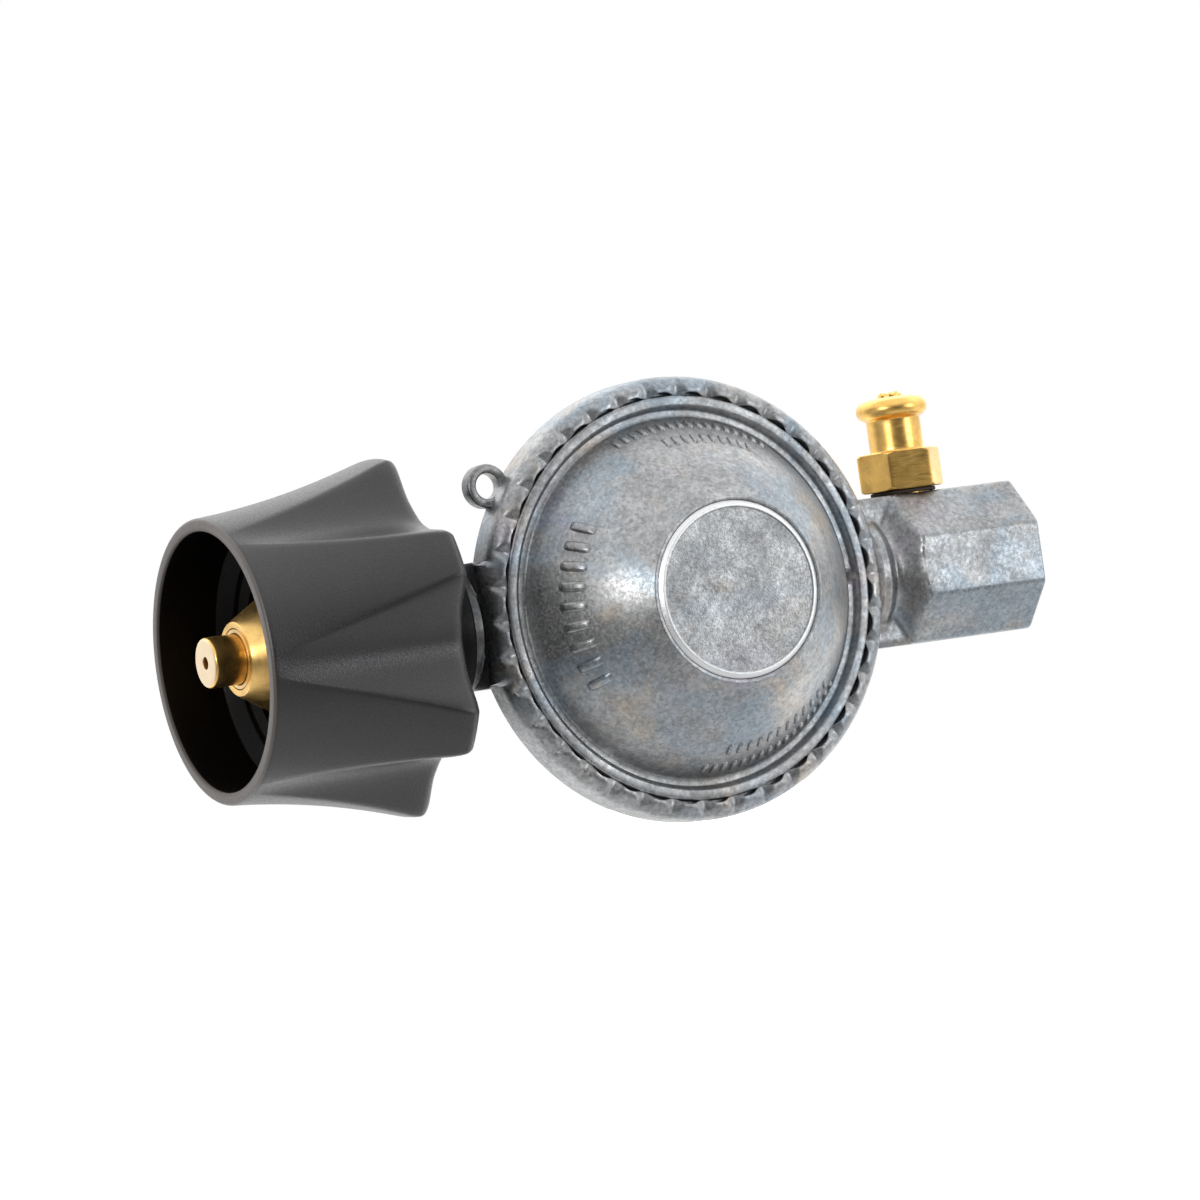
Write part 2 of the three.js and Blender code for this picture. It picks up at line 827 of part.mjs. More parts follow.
const probeFace = noseFace - probeReach;
const probeEnd = noseFace + nippleBoreDepth - seatGap;
addPiece(
  "nose_ring",
  revolve([
    [ringInner, noseFace],
    [nippleBore - fitGap, noseFace],
    [nippleBore - fitGap, noseFace + ringLength],
    [ringInner, noseFace + ringLength],
    [ringInner, noseFace],
  ]),
  metal("#d9b468", 0.35),
  inletLine,
);

addPiece(
  "nose_probe",
  revolve([
    [probeHole, probeFace],
    [probeRadius - edge, probeFace],
    [probeRadius, probeFace + edge],
    [probeRadius, noseFace + ringLength + seatGap * 2],
    [nippleBore - fitGap, noseFace + ringLength + seatGap * 2],
    [nippleBore - fitGap, probeEnd],
    [probeBore, probeEnd],
    [probeBore, probeFace + probeHoleDepth + 1],
    [probeHole, probeFace + probeHoleDepth],
    [probeHole, probeFace],
  ]),
  brass(),
  inletLine,
);

const ballCentre = probeFace + probeHoleDepth + 1 + ballRadius + 2 * seatGap;
const ball = solid(new THREE.SphereGeometry(ballRadius, 16, 8)).translate([0, ballCentre, 0]);
addPiece("flow_ball", ball, steel(), inletLine);

addPiece(
  "flow_spring",
  helix(
    flowSpringRadius,
    flowSpringWire,
    ballCentre + ballRadius + seatGap,
    probeEnd + edge,
    flowSpringTurns,
    10,
  ),
  steel(),
  inletLine,
);

// ---------- hand wheel and thermal bush ----------

// Half angle of a scoop, from 0 at the mouth to 1 at the end.
function scoopHalf(share) {
  const straight = scoopMouthHalf + (scoopEndHalf - scoopMouthHalf) * share;
  return straight + scoopBow * 4 * share * (1 - share);
}

// Radius of a crest at a distance from the mouth.
function crestRadius(along) {
  return Math.min(wheelCrestMost, wheelMouthRadius + wheelFlare * along + wheelFlareSquare * along * along);
}

// One ring of [angle, radius] round the wheel: each lobe is a plain crest, then a concave scoop.
function wheelRing(along, length) {
  const pitch = (2 * Math.PI) / lobeCount;
  const half = scoopHalf(along / length);
  const crest = crestRadius(along);
  const floor = wheelMouthRadius + ((scoopFloor - wheelMouthRadius) * along) / length;
  const edge = Math.max(0, along - (length - wheelEdge)) / wheelEdge;
  const rounded = wheelEdge * (1 - Math.sqrt(Math.max(0, 1 - edge * edge)));
  const ring = [];
  for (let lobe = 0; lobe < lobeCount; lobe++) {
    const scoopMiddle = lobePhase + pitch * (lobe + 0.5);
    for (let i = 0; i < scoopSteps; i++) {
      const share = (2 * i) / scoopSteps - 1;
      const radius = floor + (crest - floor) * share * share;
      ring.push([scoopMiddle + share * half, radius - rounded]);
    }
    const crestWidth = pitch - 2 * half;
    for (let i = 0; i < crestSteps; i++) {
      ring.push([scoopMiddle + half + (crestWidth * i) / crestSteps, crest - rounded]);
    }
  }
  return ring;
}

// Closed skin through the rings, with a fan at each end.
function makeWheelBlank() {
  const length = wheelEnd - wheelMouth;
  const stations = [0, 0.12, 0.24, 0.36, 0.48, 0.6, 0.72, 0.82].map((share) => share * length);
  for (const back of [1, 0.55, 0.2, 0]) stations.push(length - wheelEdge * back);
  const points = [];
  for (const along of stations) {
    for (const [angle, radius] of wheelRing(along, length)) {
      points.push(radius * Math.cos(angle), wheelMouth + along, radius * Math.sin(angle));
    }
  }
  points.push(0, wheelMouth, 0, 0, wheelEnd, 0);
  const around = lobeCount * (scoopSteps + crestSteps);
  const last = (stations.length - 1) * around;
  const frontPole = stations.length * around;
  const faces = [];
  for (let j = 0; j < around; j++) {
    const next = (j + 1) % around;
    for (let i = 0; i < stations.length - 1; i++) {
      const a = i * around + j;
      const b = i * around + next;
      faces.push(a, a + around, b, b, a + around, b + around);
    }
    faces.push(j, next, frontPole, last + next, last + j, frontPole + 1);
  }
  const geometry = new THREE.BufferGeometry();
  geometry.setAttribute("position", new THREE.Float32BufferAttribute(points, 3));
  geometry.setIndex(faces);
  return solid(geometry);
}

function makeWheel() {
  const bore = revolve([
    [0, wheelMouth - cutOver],
    [wheelSkirtRadius, wheelMouth - cutOver],
    [wheelSkirtRadius, wheelThreadStart - wheelLeadIn],
    [wheelThreadRadius + wheelLeadIn, wheelThreadStart],
    [wheelThreadRadius + 1, wheelThreadStart],
    [wheelThreadRadius, wheelThreadStart + 1],
    [wheelThreadRadius, wheelWebFace],
    [bossRadius + runGap, wheelWebFace],
    [bossRadius + runGap, hubEnd + cutOver],
    [0, hubEnd + cutOver],
  ]);
  const hub = revolve([
    [0, wheelWebFace],
    [hubRadius, wheelWebFace],
    [hubRadius, hubEnd - edge],
    [hubRadius - edge, hubEnd],
    [0, hubEnd],
  ]);
  return makeWheelBlank().add(hub).subtract(bore);
}

addPiece("hand_nut", makeWheel(), plain("#3c3a3b", 0.55), inletLine);

const bushBore = shankRadius + shankStep + runGap;
addPiece(
  "thermal_bush",
  revolve([
    [bushBore, bushBack],
    [bushRadius, bushBack],
    [bushRadius, bushBack - bushThickness],
    [bushBore, bushBack - bushThickness],
    [bushBore, bushBack],
  ]),
  plain("#2b2220", 0.6),
  inletLine,
);

// ---------- test nipple ----------

const hexLow = washerThickness + seatGap;
const hexTop = hexLow + hexHeight;
const beadTop = beadHeight + beadHalf;
const testScrewFoot = hexTop + testScrewDepth;
const nippleTop = beadTop + testLip;

addPiece(
  "test_washer",
  revolve([
    [testStemRadius + fitGap, seatGap],
    [washerRadius, seatGap],
    [washerRadius, washerThickness],
    [testStemRadius + fitGap, washerThickness],
    [testStemRadius + fitGap, seatGap],
  ], smallSides),
  plain("#3a2a20", 0.7),
  testPoint,
);

function makeTestNipple() {
  const corner = testHexFlats / 2 / Math.cos(Math.PI / 6);
  const chamfer = revolve([
    [0, hexLow],
    [corner - edge, hexLow],
    [corner, hexLow + smallEdge],
    [corner, hexTop - smallEdge],
    [corner - edge, hexTop],
    [0, hexTop],
  ]);
  const hexagon = prism(6, testHexFlats, hexLow, hexTop, testHexTurn).intersect(chamfer);
  const bead = [];
  for (let i = 0; i <= 6; i++) {
    const angle = -Math.PI / 2 + (Math.PI * i) / 6;
    bead.push([beadRadius - beadHalf + beadHalf * Math.cos(angle), beadHeight + beadHalf * Math.sin(angle)]);
  }
  const stub = revolve([
    [0, -testStemLength],
    [testStemRadius, -testStemLength],
    [testStemRadius, hexLow + edge],
    [stubRadius, hexLow + edge],
    [stubRadius, beadHeight - beadHalf],
    ...bead.filter(([r, h]) => r > stubRadius || h > beadHeight),
    [testBore, nippleTop],
    [0, nippleTop],
  ]);
  const bores = rod(testHole, -testStemLength - cutOver, testScrewFoot + 1, smallSides).add(
    rod(testBore, testScrewFoot, beadTop + cutOver, smallSides),
  );
  return hexagon.add(stub).subtract(bores);
}

addPiece("test_nipple", makeTestNipple(), brass(), testPoint);

function makeTestScrew() {
  const top = nippleTop + testScrewProud;
  const shaft = revolve([
    [0, testScrewFoot + seatGap],
    [testBore - fitGap, testScrewFoot + seatGap],
    [testBore - fitGap, top - edge],
    [testBore - fitGap - edge, top],
    [0, top],
  ], smallSides);
  const slot = box([-testBore, top - testScrewProud, -testSlotHalf], [testBore, top + cutOver, testSlotHalf]);
  return shaft.subtract(slot);
}

addPiece("test_screw", makeTestScrew(), brass(), testPoint);

export default regulator;
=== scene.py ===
import json
from math import atan2, cos, pi, radians, sin

import bpy
import numpy as np
from mathutils import Matrix, Vector

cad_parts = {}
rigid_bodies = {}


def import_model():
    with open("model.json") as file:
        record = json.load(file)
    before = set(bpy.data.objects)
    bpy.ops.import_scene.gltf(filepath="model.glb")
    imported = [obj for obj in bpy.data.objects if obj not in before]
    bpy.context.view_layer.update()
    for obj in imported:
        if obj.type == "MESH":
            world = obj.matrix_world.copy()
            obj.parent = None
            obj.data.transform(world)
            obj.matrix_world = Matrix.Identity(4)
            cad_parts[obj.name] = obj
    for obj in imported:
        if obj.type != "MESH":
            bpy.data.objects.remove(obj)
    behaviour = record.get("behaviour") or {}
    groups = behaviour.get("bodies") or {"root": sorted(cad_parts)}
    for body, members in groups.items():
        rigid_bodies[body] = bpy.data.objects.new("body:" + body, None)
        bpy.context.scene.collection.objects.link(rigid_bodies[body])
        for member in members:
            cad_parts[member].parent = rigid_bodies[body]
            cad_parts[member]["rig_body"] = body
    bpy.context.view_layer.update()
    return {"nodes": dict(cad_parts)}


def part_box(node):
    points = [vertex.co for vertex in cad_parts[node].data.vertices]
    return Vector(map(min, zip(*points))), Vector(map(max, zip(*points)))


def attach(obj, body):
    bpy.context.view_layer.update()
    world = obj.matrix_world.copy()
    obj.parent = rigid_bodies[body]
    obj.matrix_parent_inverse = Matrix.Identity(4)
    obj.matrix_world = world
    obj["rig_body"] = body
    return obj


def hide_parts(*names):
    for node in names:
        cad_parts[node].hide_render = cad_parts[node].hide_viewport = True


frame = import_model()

mm = 0.001


def middle(node):
    low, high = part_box(node)
    return (low + high) / 2


def reach(node, axis, side):
    # one face of a node's box in mm, seen from where the diaphragm axis meets the inlet axis
    low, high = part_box(node)
    value = (high if side > 0 else low)[axis] / mm
    return value - (axisX if axis == 0 else 0)


axisX = middle("seal_cap").x / mm    # diaphragm axis along the row's X, in mm
print("frame loaded, diaphragm axis at", round(axisX, 2))

cameraSet = dict(
    azimuth=-26.91, elevation=-0.854, roll=8.03,    # degrees
    distance=1215, lens=230.86, aim=(-7.85, 3.8, 1.71),    # mm, from the diaphragm axis
)


def setCamera(v):
    a, e, r = radians(v["azimuth"]), radians(v["elevation"]), radians(v["roll"])
    back = Vector((sin(a) * cos(e), -cos(a) * cos(e), sin(e)))
    level = Vector((cos(a), sin(a), 0))
    up = back.cross(level)
    right = level * cos(r) - up * sin(r)
    up = up * cos(r) + level * sin(r)
    aim = (Vector(v["aim"]) + Vector((axisX, 0, 0))) * mm
    turn = Matrix((right, up, back)).transposed().to_4x4()
    cam = bpy.data.cameras.new("viewCamera")
    cam.lens = v["lens"]
    cam.sensor_width = 36
    cam.clip_start = 0.05
    obj = bpy.data.objects.new("viewCamera", cam)
    obj.matrix_world = Matrix.Translation(aim + back * v["distance"] * mm) @ turn
    bpy.context.scene.collection.objects.link(obj)
    bpy.context.scene.camera = obj


setCamera(cameraSet)


def unit(v):
    return v / np.linalg.norm(v)


def rounded(corners, steps=5, spacing=None, loop=False):
    # a line through (u, v, radius) corners, each corner an arc tangent to its two sides
    pts = np.array([c[:2] for c in corners], float)
    radii = [c[2] for c in corners]
    n = len(pts)
    out = []
    for i in range(n):
        if radii[i] <= 0 or (not loop and i in (0, n - 1)):
            out.append(pts[i])
            continue
        p, a, b = pts[i], pts[i - 1], pts[(i + 1) % n]
        da, db = unit(a - p), unit(b - p)
        half = np.arccos(np.clip(da @ db, -1, 1)) / 2
        along = min(radii[i] / np.tan(half), 0.48 * min(np.linalg.norm(a - p), np.linalg.norm(b - p)))
        centre = p + unit(da + db) * along / np.cos(half)
        start, end = p + da * along - centre, p + db * along - centre
        sweep = np.arccos(np.clip(unit(start) @ unit(end), -1, 1))
        for t in np.linspace(0, 1, steps + 1):
            mix = (np.sin((1 - t) * sweep) * start + np.sin(t * sweep) * end) / np.sin(sweep)
            out.append(centre + mix)
    line = np.array(out)
    return line if spacing is None else subdivided(line, spacing, loop)


def subdivided(line, spacing, loop=False):
    # adds even points to every run that is longer than spacing
    ends = np.roll(line, -1, axis=0) if loop else line[1:]
    parts = []
    for a, b in zip(line, ends):
        count = max(1, int(np.ceil(np.linalg.norm(b - a) / spacing)))
        parts.append(a + (b - a) * np.linspace(0, 1, count, endpoint=False)[:, None])
    if not loop:
        parts.append(line[-1:])
    return np.concatenate(parts)


def place(along, radius, angle, axis):
    # axis "x" or "z": angle 0 looks to -Y on "x", to +X on the others
    s, c = np.sin(angle), np.cos(angle)
    if axis == "x":
        return np.stack([along + 0 * s, -radius * c, radius * s], axis=-1)
    if axis == "y":
        return np.stack([radius * c, along + 0 * s, radius * s], axis=-1)
    return np.stack([radius * c, radius * s, along + 0 * s], axis=-1)


def turned(line, sides, axis="x"):
    # (radius, along) profile carried round an axis
    angle = np.linspace(0, 2 * pi, sides, endpoint=False)[None, :]
    return place(line[:, 1:2], line[:, 0:1], angle, axis)


def newPiece(name, points, faces, centre=(0, 0, 0), smooth=40):
    # points in mm from where the two axes meet; edges sharper than smooth degrees stay crisp
    shift = np.array([axisX, 0, 0]) + np.array(centre, float)
    mesh = bpy.data.meshes.new(name)
    mesh.from_pydata((points + shift) * mm, [], faces)
    mesh.update()
    mesh.shade_smooth()
    mesh.set_sharp_from_angle(angle=radians(smooth))
    obj = bpy.data.objects.new(name, mesh)
    bpy.context.scene.collection.objects.link(obj)
    return obj


def skin(name, grid, loop=False, poles=(False, False), centre=(0, 0, 0), smooth=40):
    # mesh of a (rows, columns) grid of mm points; columns close on themselves, rows too in a loop.
    # At a pole the row is one point, and a fan of triangles closes it.
    rows, cols = grid.shape[:2]
    index = np.arange(rows * cols).reshape(rows, cols)
    low = index if loop else index[:-1]
    high = np.roll(index, -1, axis=0) if loop else index[1:]
    quads = np.stack([low, np.roll(low, -1, 1), np.roll(high, -1, 1), high], axis=-1).reshape(-1, 4)
    points = grid.reshape(-1, 3)
    faces = quads.tolist()
    for at, row in ((0, poles[0]), (-1, poles[1])):
        if not row:
            continue
        tip = len(points)
        points = np.vstack([points, grid[at].mean(axis=0)])
        ring, after = index[at], np.roll(index[at], -1)
        hub = np.full(cols, tip)
        fan = np.stack([ring, hub, after] if at == 0 else [after, hub, ring], axis=-1)
        faces += fan.tolist()
    d1 = points[quads[:, 2]] - points[quads[:, 0]]
    d2 = points[quads[:, 3]] - points[quads[:, 1]]
    mid = points[quads].mean(axis=1) - points.mean(axis=0)
    if np.einsum("ij,ij->", np.cross(d1, d2), mid) < 0:
        faces = [f[::-1] for f in faces]
    return newPiece(name, points, faces, centre, smooth)


def shells(name, grids):
    # one mesh of many small closed shells, each a (rows, columns) grid of mm points, its two end rows capped
    rows, cols = grids[0].shape[:2]
    index = np.arange(rows * cols).reshape(rows, cols)
    onward = np.roll(index, -1, axis=1)
    quads = np.stack([index[:-1], onward[:-1], onward[1:], index[1:]], axis=-1).reshape(-1, 4)
    caps = np.stack([index[0][::-1], index[-1]])
    start = np.arange(len(grids))[:, None, None] * rows * cols
    faces = (start + quads).reshape(-1, 4).tolist() + (start + caps).reshape(-1, cols).tolist()
    return newPiece(name, np.concatenate(grids).reshape(-1, 3), faces, smooth=50)


def finish(obj, node, finishMaterial):
    body = frame["nodes"][node]["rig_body"]
    obj.data.materials.clear()
    obj.data.materials.append(finishMaterial)
    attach(obj, body)
    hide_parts(node)
    return obj


def smoothMax(a, b, k):
    # the larger of two fields, with a soft blend k wide between them
    h = np.clip(0.5 + 0.5 * (a - b) / k, 0, 1)
    return b + (a - b) * h + k * h * (1 - h)


def smoothMin(a, b, k):
    return -smoothMax(-a, -b, k)


def polygon(angle, normals, sharp):
    # radius of a regular polygon, one unit from its middle to a flat and a little rounded at its corners:
    # one over the root of the sum of the powers of the cosines to its sides
    sides = np.maximum(np.cos(angle - normals), 0) ** sharp
    return sides.sum(axis=0, keepdims=True) ** (-1 / sharp)


def smoothStep(t):
    t = np.clip(t, 0, 1)
    return t * t * (3 - 2 * t)


class Nodes:
    # a small hand for wiring a material's nodes
    def __init__(self, name):
        self.mat = bpy.data.materials.new(name)
        self.mat.use_nodes = True
        self.tree = self.mat.node_tree
        self.shader = self.tree.nodes["Principled BSDF"]
        self.object = self.add("ShaderNodeTexCoord").outputs["Object"]

    def add(self, kind, **values):
        node = self.tree.nodes.new(kind)
        for key, value in values.items():
            setattr(node, key, value)
        return node

    def link(self, source, target):
        self.tree.links.new(source, target)

    def mapped(self, scale=(1, 1, 1), shift=(0, 0, 0)):
        node = self.add("ShaderNodeMapping")
        node.inputs["Scale"].default_value = scale
        node.inputs["Location"].default_value = shift
        self.link(self.object, node.inputs["Vector"])
        return node.outputs["Vector"]

    def noise(self, size, detail=4, rough=0.55, vector=None, warp=0):
        # size is the width of one blotch in mm
        node = self.add("ShaderNodeTexNoise")
        node.inputs["Scale"].default_value = 1 / (size * mm)
        node.inputs["Detail"].default_value = detail
        node.inputs["Roughness"].default_value = rough
        node.inputs["Distortion"].default_value = warp
        self.link(vector or self.object, node.inputs["Vector"])
        return node.outputs["Fac"]

    def flakes(self, size):
        # a random colour for each cell, size mm wide
        node = self.add("ShaderNodeTexVoronoi")
        node.inputs["Scale"].default_value = 1 / (size * mm)
        self.link(self.object, node.inputs["Vector"])
        return node.outputs["Color"]

    def ramp(self, source, stops):
        # stops: (position, value or colour)
        node = self.add("ShaderNodeValToRGB")
        band = node.color_ramp
        while len(band.elements) < len(stops):
            band.elements.new(0.5)
        for element, (at, value) in zip(band.elements, stops):
            element.position = at
            element.color = (value, value, value, 1) if np.isscalar(value) else (*value, 1)
        self.link(source, node.inputs["Fac"])
        return node.outputs["Color"]

    def mix(self, share, a, b, kind="MIX"):
        node = self.add("ShaderNodeMix", data_type="RGBA", blend_type=kind)
        for value, socket in ((share, node.inputs[0]), (a, node.inputs[6]), (b, node.inputs[7])):
            if isinstance(value, bpy.types.NodeSocket):
                self.link(value, socket)
            elif np.isscalar(value):
                socket.default_value = value
            else:
                socket.default_value = (*value, 1)
        return node.outputs[2]

    def math(self, kind, a, b=0.0):
        node = self.add("ShaderNodeMath", operation=kind)
        for value, socket in ((a, node.inputs[0]), (b, node.inputs[1])):
            if isinstance(value, bpy.types.NodeSocket):
                self.link(value, socket)
            else:
                socket.default_value = value
        return node.outputs[0]

    def range(self, source, low, high, fromLow=0.0, fromHigh=1.0):
        node = self.add("ShaderNodeMapRange")
        self.link(source, node.inputs["Value"])
        for name, value in (("From Min", fromLow), ("From Max", fromHigh), ("To Min", low), ("To Max", high)):
            node.inputs[name].default_value = value
        return node.outputs["Result"]

    def along(self, axis):
        # distance in metres along one object direction
        parts = self.add("ShaderNodeSeparateXYZ")
        self.link(self.object, parts.inputs["Vector"])
        return parts.outputs[axis]

    def radius(self, first, second, middleX=0.0):
        # distance in metres from the axis across two object directions
        a, b = self.along(first), self.along(second)
        if middleX:
            a = self.math("SUBTRACT", a, middleX * mm)
        squares = self.math("ADD", self.math("POWER", a, 2.0), self.math("POWER", b, 2.0))
        return self.math("SQRT", squares)

    def bump(self, height, depth, strength=1.0, below=None):
        # depth is the height of the relief in mm
        node = self.add("ShaderNodeBump")
        node.inputs["Strength"].default_value = strength
        node.inputs["Distance"].default_value = depth * mm
        self.link(height, node.inputs["Height"])
        if below is not None:
            self.link(below, node.inputs["Normal"])
        return node.outputs["Normal"]

    def set(self, **values):
        for key, value in values.items():
            socket = self.shader.inputs[key.replace("_", " ")]
            if isinstance(value, bpy.types.NodeSocket):
                self.link(value, socket)
            elif hasattr(socket.default_value, "__len__"):
                socket.default_value = (*value, 1)
            else:
                socket.default_value = value
        return self.mat


zincSet = dict(
    dark=(0.22, 0.225, 0.23), mid=(0.31, 0.315, 0.32), light=(0.42, 0.425, 0.43),
    blue=(0.19, 0.29, 0.38), straw=(0.45, 0.36, 0.26), violet=(0.34, 0.29, 0.38),
    patches=(("blue", 13, 0.58), ("straw", 10, 0.64), ("violet", 17, 0.68)),    # colour, width in mm, from
    # painted shade: at its darkest, beside the hand wheel, the casting keeps 0.28 of its colour
    shadeDarkest=0.28, worn=(0.72, 0.73, 0.74), wornRough=0.42,
)


def tinted(colour, factor):
    return tuple(min(1, c * factor) for c in colour)


def makeZinc(name, blotch=9, speck=0.5, rough=(0.30, 0.46), grain=0.012, tint=0.35, lift=1.0, flake=0.3,
             polished=None, shadedBefore=None):
    # die cast zinc: cloudy greys, faint heat colours, a cast skin with fine pits and crystal flakes.
    # blotch, speck and grain in mm; beyond the radius polished it is a bright worn edge, and on the inlet
    # side of the station shadedBefore its colour is darkened as painted shade, the hand wheel's shade and dark
    # reflection there
    n = Nodes(name)
    v = zincSet
    cloud = n.noise(blotch, 6, 0.62, warp=0.6)
    fine = n.noise(blotch / 9, 6, 0.75)
    both = n.math("ADD", n.math("MULTIPLY", cloud, 0.5), n.math("MULTIPLY", fine, 0.5))
    dark, mid, light = (tinted(v[k], lift) for k in ("dark", "mid", "light"))
    base = n.ramp(both, [(0.36, dark), (0.5, mid), (0.64, light)])
    for colour, size, at in v["patches"]:
        shifted = n.mapped(shift=(size * 0.013, size * 0.021, size * 0.008))
        patch = n.range(n.noise(size, 3, 0.5, shifted, 0.8), 0, tint, at - 0.08, at + 0.06)
        base = n.mix(patch, base, v[colour])
    crystals = n.ramp(n.flakes(speck * 1.3), [(0.2, 0.5), (0.8, 1.6)])
    base = n.mix(flake, base, n.mix(1.0, base, crystals, "MULTIPLY"))
    specks = n.noise(speck, 2, 0.6)
    base = n.mix(n.range(specks, 0, 0.4, 0.56, 0.72), base, tinted(light, 1.3))
    base = n.mix(n.range(specks, 0.45, 0, 0.26, 0.40), base, tinted(dark, 0.5))
    # painted shade: the casting is darker on the inlet side, beside the black hand wheel
    if shadedBefore:
        share = n.range(n.along("X"), v["shadeDarkest"], 1.0, (shadedBefore - 4) * mm, (shadedBefore + 4) * mm)
        base = n.mix(1.0, base, n.ramp(share, [(0.0, 0.0), (1.0, 1.0)]), "MULTIPLY")
    roughness = n.range(both, rough[1], rough[0], 0.35, 0.65)
    roughness = n.math("ADD", roughness, n.range(specks, -0.04, 0.10, 0.35, 0.7))
    relief = n.bump(n.noise(blotch / 3.2, 4, 0.55), 0.05, 0.55)
    relief = n.bump(n.noise(speck, 3, 0.6), grain, 0.9, relief)
    if polished:
        edge = n.range(n.radius("X", "Z", axisX), 0, 1, (polished - 0.1) * mm, (polished + 0.1) * mm)
        base = n.mix(edge, base, v["worn"])
        inner = n.math("MULTIPLY", roughness, n.math("SUBTRACT", 1.0, edge))
        roughness = n.math("ADD", inner, n.math("MULTIPLY", edge, v["wornRough"]))
    return n.set(Base_Color=base, Metallic=0.92, Roughness=roughness, Normal=relief)


def makeBrass(name, colour, rough, turnAxis=None, scratch=0.5, tip=None):
    # turned brass: fine rings round its axis, a little tarnish in blotches.
    # tip: (station in mm, colour) of a paler end face, this side of the station
    n = Nodes(name)
    cloud = n.noise(3.2, 4, 0.6, warp=0.4)
    base = n.ramp(cloud, [(0.32, tinted(colour, 0.72)), (0.55, colour), (0.75, tinted(colour, 1.18))])
    stretched = {"x": (6, 0.5, 0.5), "z": (0.5, 0.5, 6)}.get(turnAxis, (1, 1, 1))
    rings = n.noise(0.9, 2, 0.5, n.mapped(stretched))
    spots = n.range(n.noise(0.35, 2, 0.5), 0, 0.22, 0.60, 0.72)
    base = n.mix(spots, base, tinted(colour, 0.55))
    roughness = n.range(rings, rough - 0.04, rough + 0.08, 0.3, 0.7)
    relief = n.bump(rings, 0.012 * scratch, 0.5)
    if tip:
        atTip = n.range(n.along("X"), 1, 0, (tip[0] - 0.02) * mm, (tip[0] + 0.02) * mm)
        base = n.mix(atTip, base, tip[1])
        roughness = n.math("ADD", roughness, n.math("MULTIPLY", atTip, 0.2))
    return n.set(Base_Color=base, Metallic=1.0, Roughness=roughness, Normal=relief)


def makePlastic(name, dark, light, rough, grain=0.30, depth=0.05, shine=0.5, bore=None, lip=None):
    # moulded plastic with a spark eroded grain: tiny rounded bumps that glint.
    # bore: (radius in mm, colour) of a smoother inside round the inlet axis, its colour darkened as painted shade
    # lip: (station in mm, colour) of a paler rubbed end face, this side of the station
    n = Nodes(name)
    cells = n.noise(grain, 3, 0.65)
    patch = n.noise(6, 3, 0.5)
    base = n.mix(n.range(cells, 0, 1, 0.38, 0.66), dark, light)
    base = n.mix(n.range(patch, 0, 0.25, 0.4, 0.7), base, tinted(light, 1.25))
    roughness = n.range(cells, rough + 0.10, rough - 0.08, 0.35, 0.68)
    relief = n.bump(cells, depth, 0.85)
    # painted shade: inside the bore radius the plastic is darker, for the shade in the wheel's hollow
    if bore:
        inside = n.range(n.radius("Y", "Z"), 1, 0, (bore[0] - 0.3) * mm, (bore[0] + 0.3) * mm)
        base = n.mix(inside, base, bore[1])
        n.set(Specular_IOR_Level=n.range(inside, shine, 0.12))
    if lip:
        atLip = n.range(n.along("X"), 1, 0, (lip[0] - 0.1) * mm, (lip[0] + 0.1) * mm)
        base = n.mix(atLip, base, lip[1])
    return n.set(Base_Color=base, Roughness=roughness, Normal=relief)


def makeSteel(name, colour=(0.55, 0.56, 0.58)):
    # plated steel: soft clouds and fine drawn lines
    n = Nodes(name)
    base = n.ramp(n.noise(2.2, 4, 0.6), [(0.3, tinted(colour, 0.75)), (0.7, colour)])
    lines = n.noise(0.4, 3, 0.6, n.mapped((1, 6, 1)))
    roughness = n.range(lines, 0.25, 0.42, 0.3, 0.7)
    return n.set(Base_Color=base, Metallic=1.0, Roughness=roughness, Normal=n.bump(lines, 0.01, 0.5))


def makeRubber(name, colour=(0.018, 0.018, 0.02)):
    # dull rubber or fibre with a faint fine mottle
    n = Nodes(name)
    cells = n.noise(0.5, 4, 0.6)
    base = n.mix(cells, tinted(colour, 0.7), tinted(colour, 1.8))
    return n.set(Base_Color=base, Roughness=n.range(cells, 0.62, 0.85), Normal=n.bump(cells, 0.02, 0.6))


# painted shade darkens the casting more than 33 mm out on the inlet side of the diaphragm axis
castZinc = makeZinc("castZinc", speck=0.42, rough=(0.33, 0.46), lift=0.94, shadedBefore=axisX - 33)
capZinc = makeZinc("capZinc", blotch=7, speck=0.30, rough=(0.34, 0.50), grain=0.06, tint=0.15, flake=0.35,
                   polished=12.95)
satinBrass = makeBrass("satinBrass", (0.88, 0.57, 0.20), 0.32, "x")
paleBrass = makeBrass("paleBrass", (0.86, 0.62, 0.30), 0.34, None, 0.3)
goldBrass = makeBrass("goldBrass", (0.84, 0.52, 0.15), 0.32, "z", 0.3)
probeBrass = makeBrass("probeBrass", (0.80, 0.50, 0.16), 0.32, "x",
                       tip=(axisX + reach("nose_probe", 0, -1) + 0.1, (0.86, 0.72, 0.52)))
# the bore entry paints shade on the wheel's inside, within 20.6 mm of the inlet axis
blackGrain = makePlastic("blackGrain", (0.004, 0.0036, 0.0044), (0.013, 0.0118, 0.0137), 0.37, shine=0.68,
                         bore=(20.6, (0.0016, 0.0009, 0.0007)),
                         lip=(axisX + reach("hand_nut", 0, -1) + 0.35, (0.075, 0.064, 0.058)))
bushBrown = makePlastic("bushBrown", (0.020, 0.013, 0.011), (0.035, 0.022, 0.018), 0.45,
                        grain=0.5, depth=0.02)
palePlastic = makePlastic("palePlastic", (0.50, 0.48, 0.42), (0.62, 0.60, 0.54), 0.4, grain=0.8, depth=0.015)
platedSteel = makeSteel("platedSteel")
darkRubber = makeRubber("darkRubber")
fibreBrown = makeRubber("fibreBrown", (0.030, 0.020, 0.014))
print("materials made")

